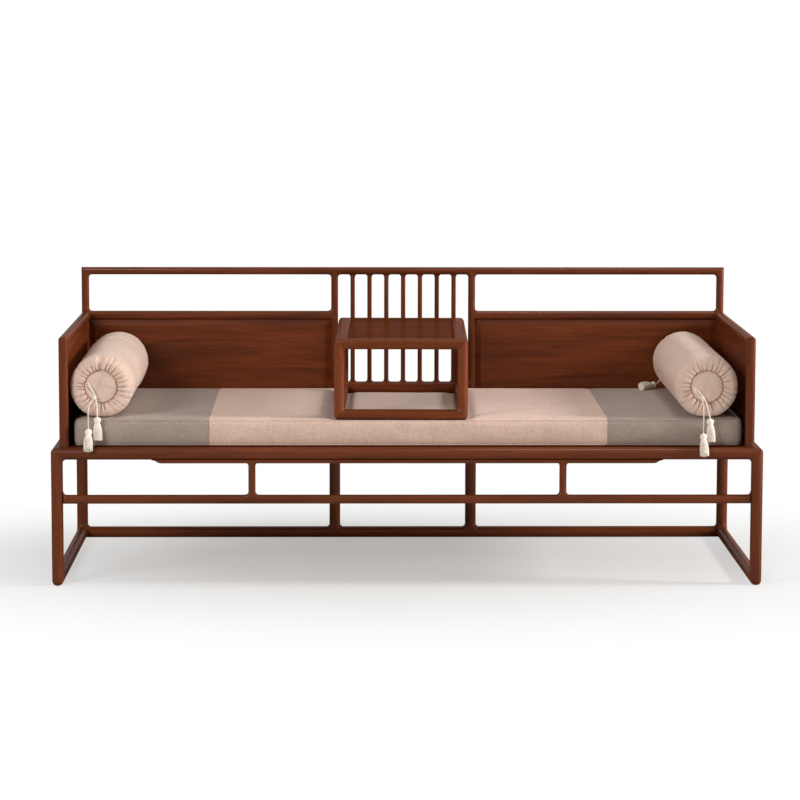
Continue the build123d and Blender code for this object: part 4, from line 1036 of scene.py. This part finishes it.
# ------------------------ stage
class DAYBED_OT_stage(bpy.types.Operator):
    """Adds the pale floor, the soft lights and the camera"""
    bl_idname = "daybed.stage"
    bl_label = "Set the stage"

    def execute(self, context):
        settings = context.scene.daybed_stage
        self.floor()
        self.room(context, settings)
        self.lamp("key_light", (0.7, -0.2, 3.4), (-0.45, 0.0, 0.45), 0.9, settings.key)
        self.lamp("side_light", (6.2, -0.9, 3.1), (-0.1, 0.0, 0.55), 1.0, settings.side)
        self.lamp("rim_light", (5.6, -1.4, 0.7), (0.0, 0.0, 0.55), 0.5, settings.rim)
        self.lamp("fill_light", (-3.0, -3.7, 2.5), (-0.35, 0.0, 0.40), 1.6, settings.fill)
        self.camera(context)
        context.scene.view_settings.view_transform = "Standard"
        return {"FINISHED"}

    def floor(self):
        bpy.ops.object.select_all(action="DESELECT")
        bpy.ops.mesh.primitive_plane_add(size=60, location=(0, 0, -0.0006))
        floor = bpy.context.object
        floor.name = "studio_floor"
        settle(floor)
        # Matt white paint that keeps the shadow near the bed and goes over into white away from it.
        material, add, place = new_material("matt_white_paint")
        oval = add("Mapping", {"Vector": place, "Scale": (1.0, 1.4, 1.0)})
        away = add("VectorMath", {0: oval}, operation="LENGTH")
        far = add("MapRange", {"Value": away.outputs["Value"], "From Min": 0.4, "From Max": 2.0,
                               "To Min": 0.35}, interpolation_type="SMOOTHSTEP")
        rays = add("LightPath")
        seen = add("Math", {0: far, 1: rays.outputs["Is Camera Ray"]}, operation="MULTIPLY")
        paint = add("BsdfPrincipled", {"Base Color": linear("#D9D7D4"), "Roughness": 0.9,
                                       "Specular IOR Level": 0.2})
        white = add("Emission", {"Color": grey(1), "Strength": 1.0})
        add("OutputMaterial", {"Surface": add("MixShader", {0: seen, 1: paint, 2: white})})
        floor.data.materials.append(material)

    def room(self, context, settings):
        """White behind everything that the camera sees, and an even soft light otherwise."""
        world = bpy.data.worlds.new("white_room")
        context.scene.world = world
        add = node_adder(world)
        rays = add("LightPath").outputs
        seen = add("Math", {0: rays["Is Camera Ray"], 1: rays["Is Glossy Ray"]},
                   operation="MAXIMUM")
        seen = add("Math", {0: seen, 1: rays["Is Transmission Ray"]}, operation="MAXIMUM")
        soft = add("Background", {"Color": linear("#FFFDFA"), "Strength": settings.sky})
        white = add("Background", {"Color": grey(1), "Strength": 1.0})
        add("OutputWorld", {"Surface": add("MixShader", {0: seen, 1: soft, 2: white})})

    def lamp(self, name, place, target, size, power):
        """A square soft light at a place, turned towards its target."""
        light = bpy.data.lights.new(name, "AREA")
        light.energy = power
        light.size = size
        lamp = bpy.data.objects.new(name, light)
        bpy.context.collection.objects.link(lamp)
        lamp.location = place
        aim = Vector(target) - Vector(place)
        lamp.rotation_euler = aim.to_track_quat("-Z", "Y").to_euler()

    def camera(self, context):
        """A long lens, 9 m in front of the bed and 1.6 m high, that looks a little down."""
        camera = bpy.data.cameras.new("front_camera")
        camera.sensor_width = 36.0
        camera.lens = 140.902
        camera.clip_end = 100
        eye = bpy.data.objects.new("front_camera", camera)
        bpy.context.collection.objects.link(eye)
        down, right, roll = (math.radians(angle) for angle in (6.9463, 0.9097, 0.1060))
        turned = Euler((math.pi / 2 - down, 0, -right)).to_matrix()
        turned = turned @ Matrix.Rotation(roll, 3, "Z")
        eye.matrix_world = Matrix.Translation((-0.15983, -9.11479, 1.58503)) @ turned.to_4x4()
        context.scene.camera = eye


# ------------------------ panel and registration
class DAYBED_PT_panel(bpy.types.Panel):
    """Lists the daybed's steps and their settings"""
    bl_label = "Daybed"
    bl_idname = "DAYBED_PT_panel"
    bl_space_type = "VIEW_3D"
    bl_region_type = "UI"
    bl_category = "Daybed"

    def draw(self, context):
        for operator, group, fields in STEPS:
            box = self.layout.box()
            settings = getattr(context.scene, group)
            for field in fields:
                box.prop(settings, field)
            box.operator(operator)


STEPS = (
    ("daybed.stage", "daybed_stage", ("key", "side", "rim", "fill", "sky")),
    ("daybed.drawstrings", "daybed_cords", ("yarn", "thickness", "threads")),
    ("daybed.members", "daybed_timber", ()),
    ("daybed.timber", "daybed_timber", ("wood", "panel")),
    ("daybed.cushion", "daybed_cushion", ("ends", "middle", "seam", "swell")),
    ("daybed.bolsters", "daybed_bolsters", ("cloth", "gathers", "fold")),
)
GROUPS = {
    "daybed_stage": DaybedStage,
    "daybed_cords": DaybedCords,
    "daybed_timber": DaybedTimber,
    "daybed_cushion": DaybedCushion,
    "daybed_bolsters": DaybedBolsters,
}
CLASSES = (*GROUPS.values(), DAYBED_OT_members, DAYBED_OT_timber, DAYBED_OT_cushion,
           DAYBED_OT_bolsters, DAYBED_OT_drawstrings, DAYBED_OT_stage, DAYBED_PT_panel)


def register():
    for cls in CLASSES:
        bpy.utils.register_class(cls)
    for name, group in GROUPS.items():
        setattr(bpy.types.Scene, name, bpy.props.PointerProperty(type=group))


def unregister():
    for name in GROUPS:
        delattr(bpy.types.Scene, name)
    for cls in reversed(CLASSES):
        bpy.utils.unregister_class(cls)


def main():
    register()
    bpy.ops.daybed.stage()
    bpy.ops.daybed.drawstrings()
    bpy.ops.daybed.members()
    bpy.ops.daybed.timber()
    bpy.ops.daybed.cushion()
    bpy.ops.daybed.bolsters()


if __name__ == "__main__":
    main()
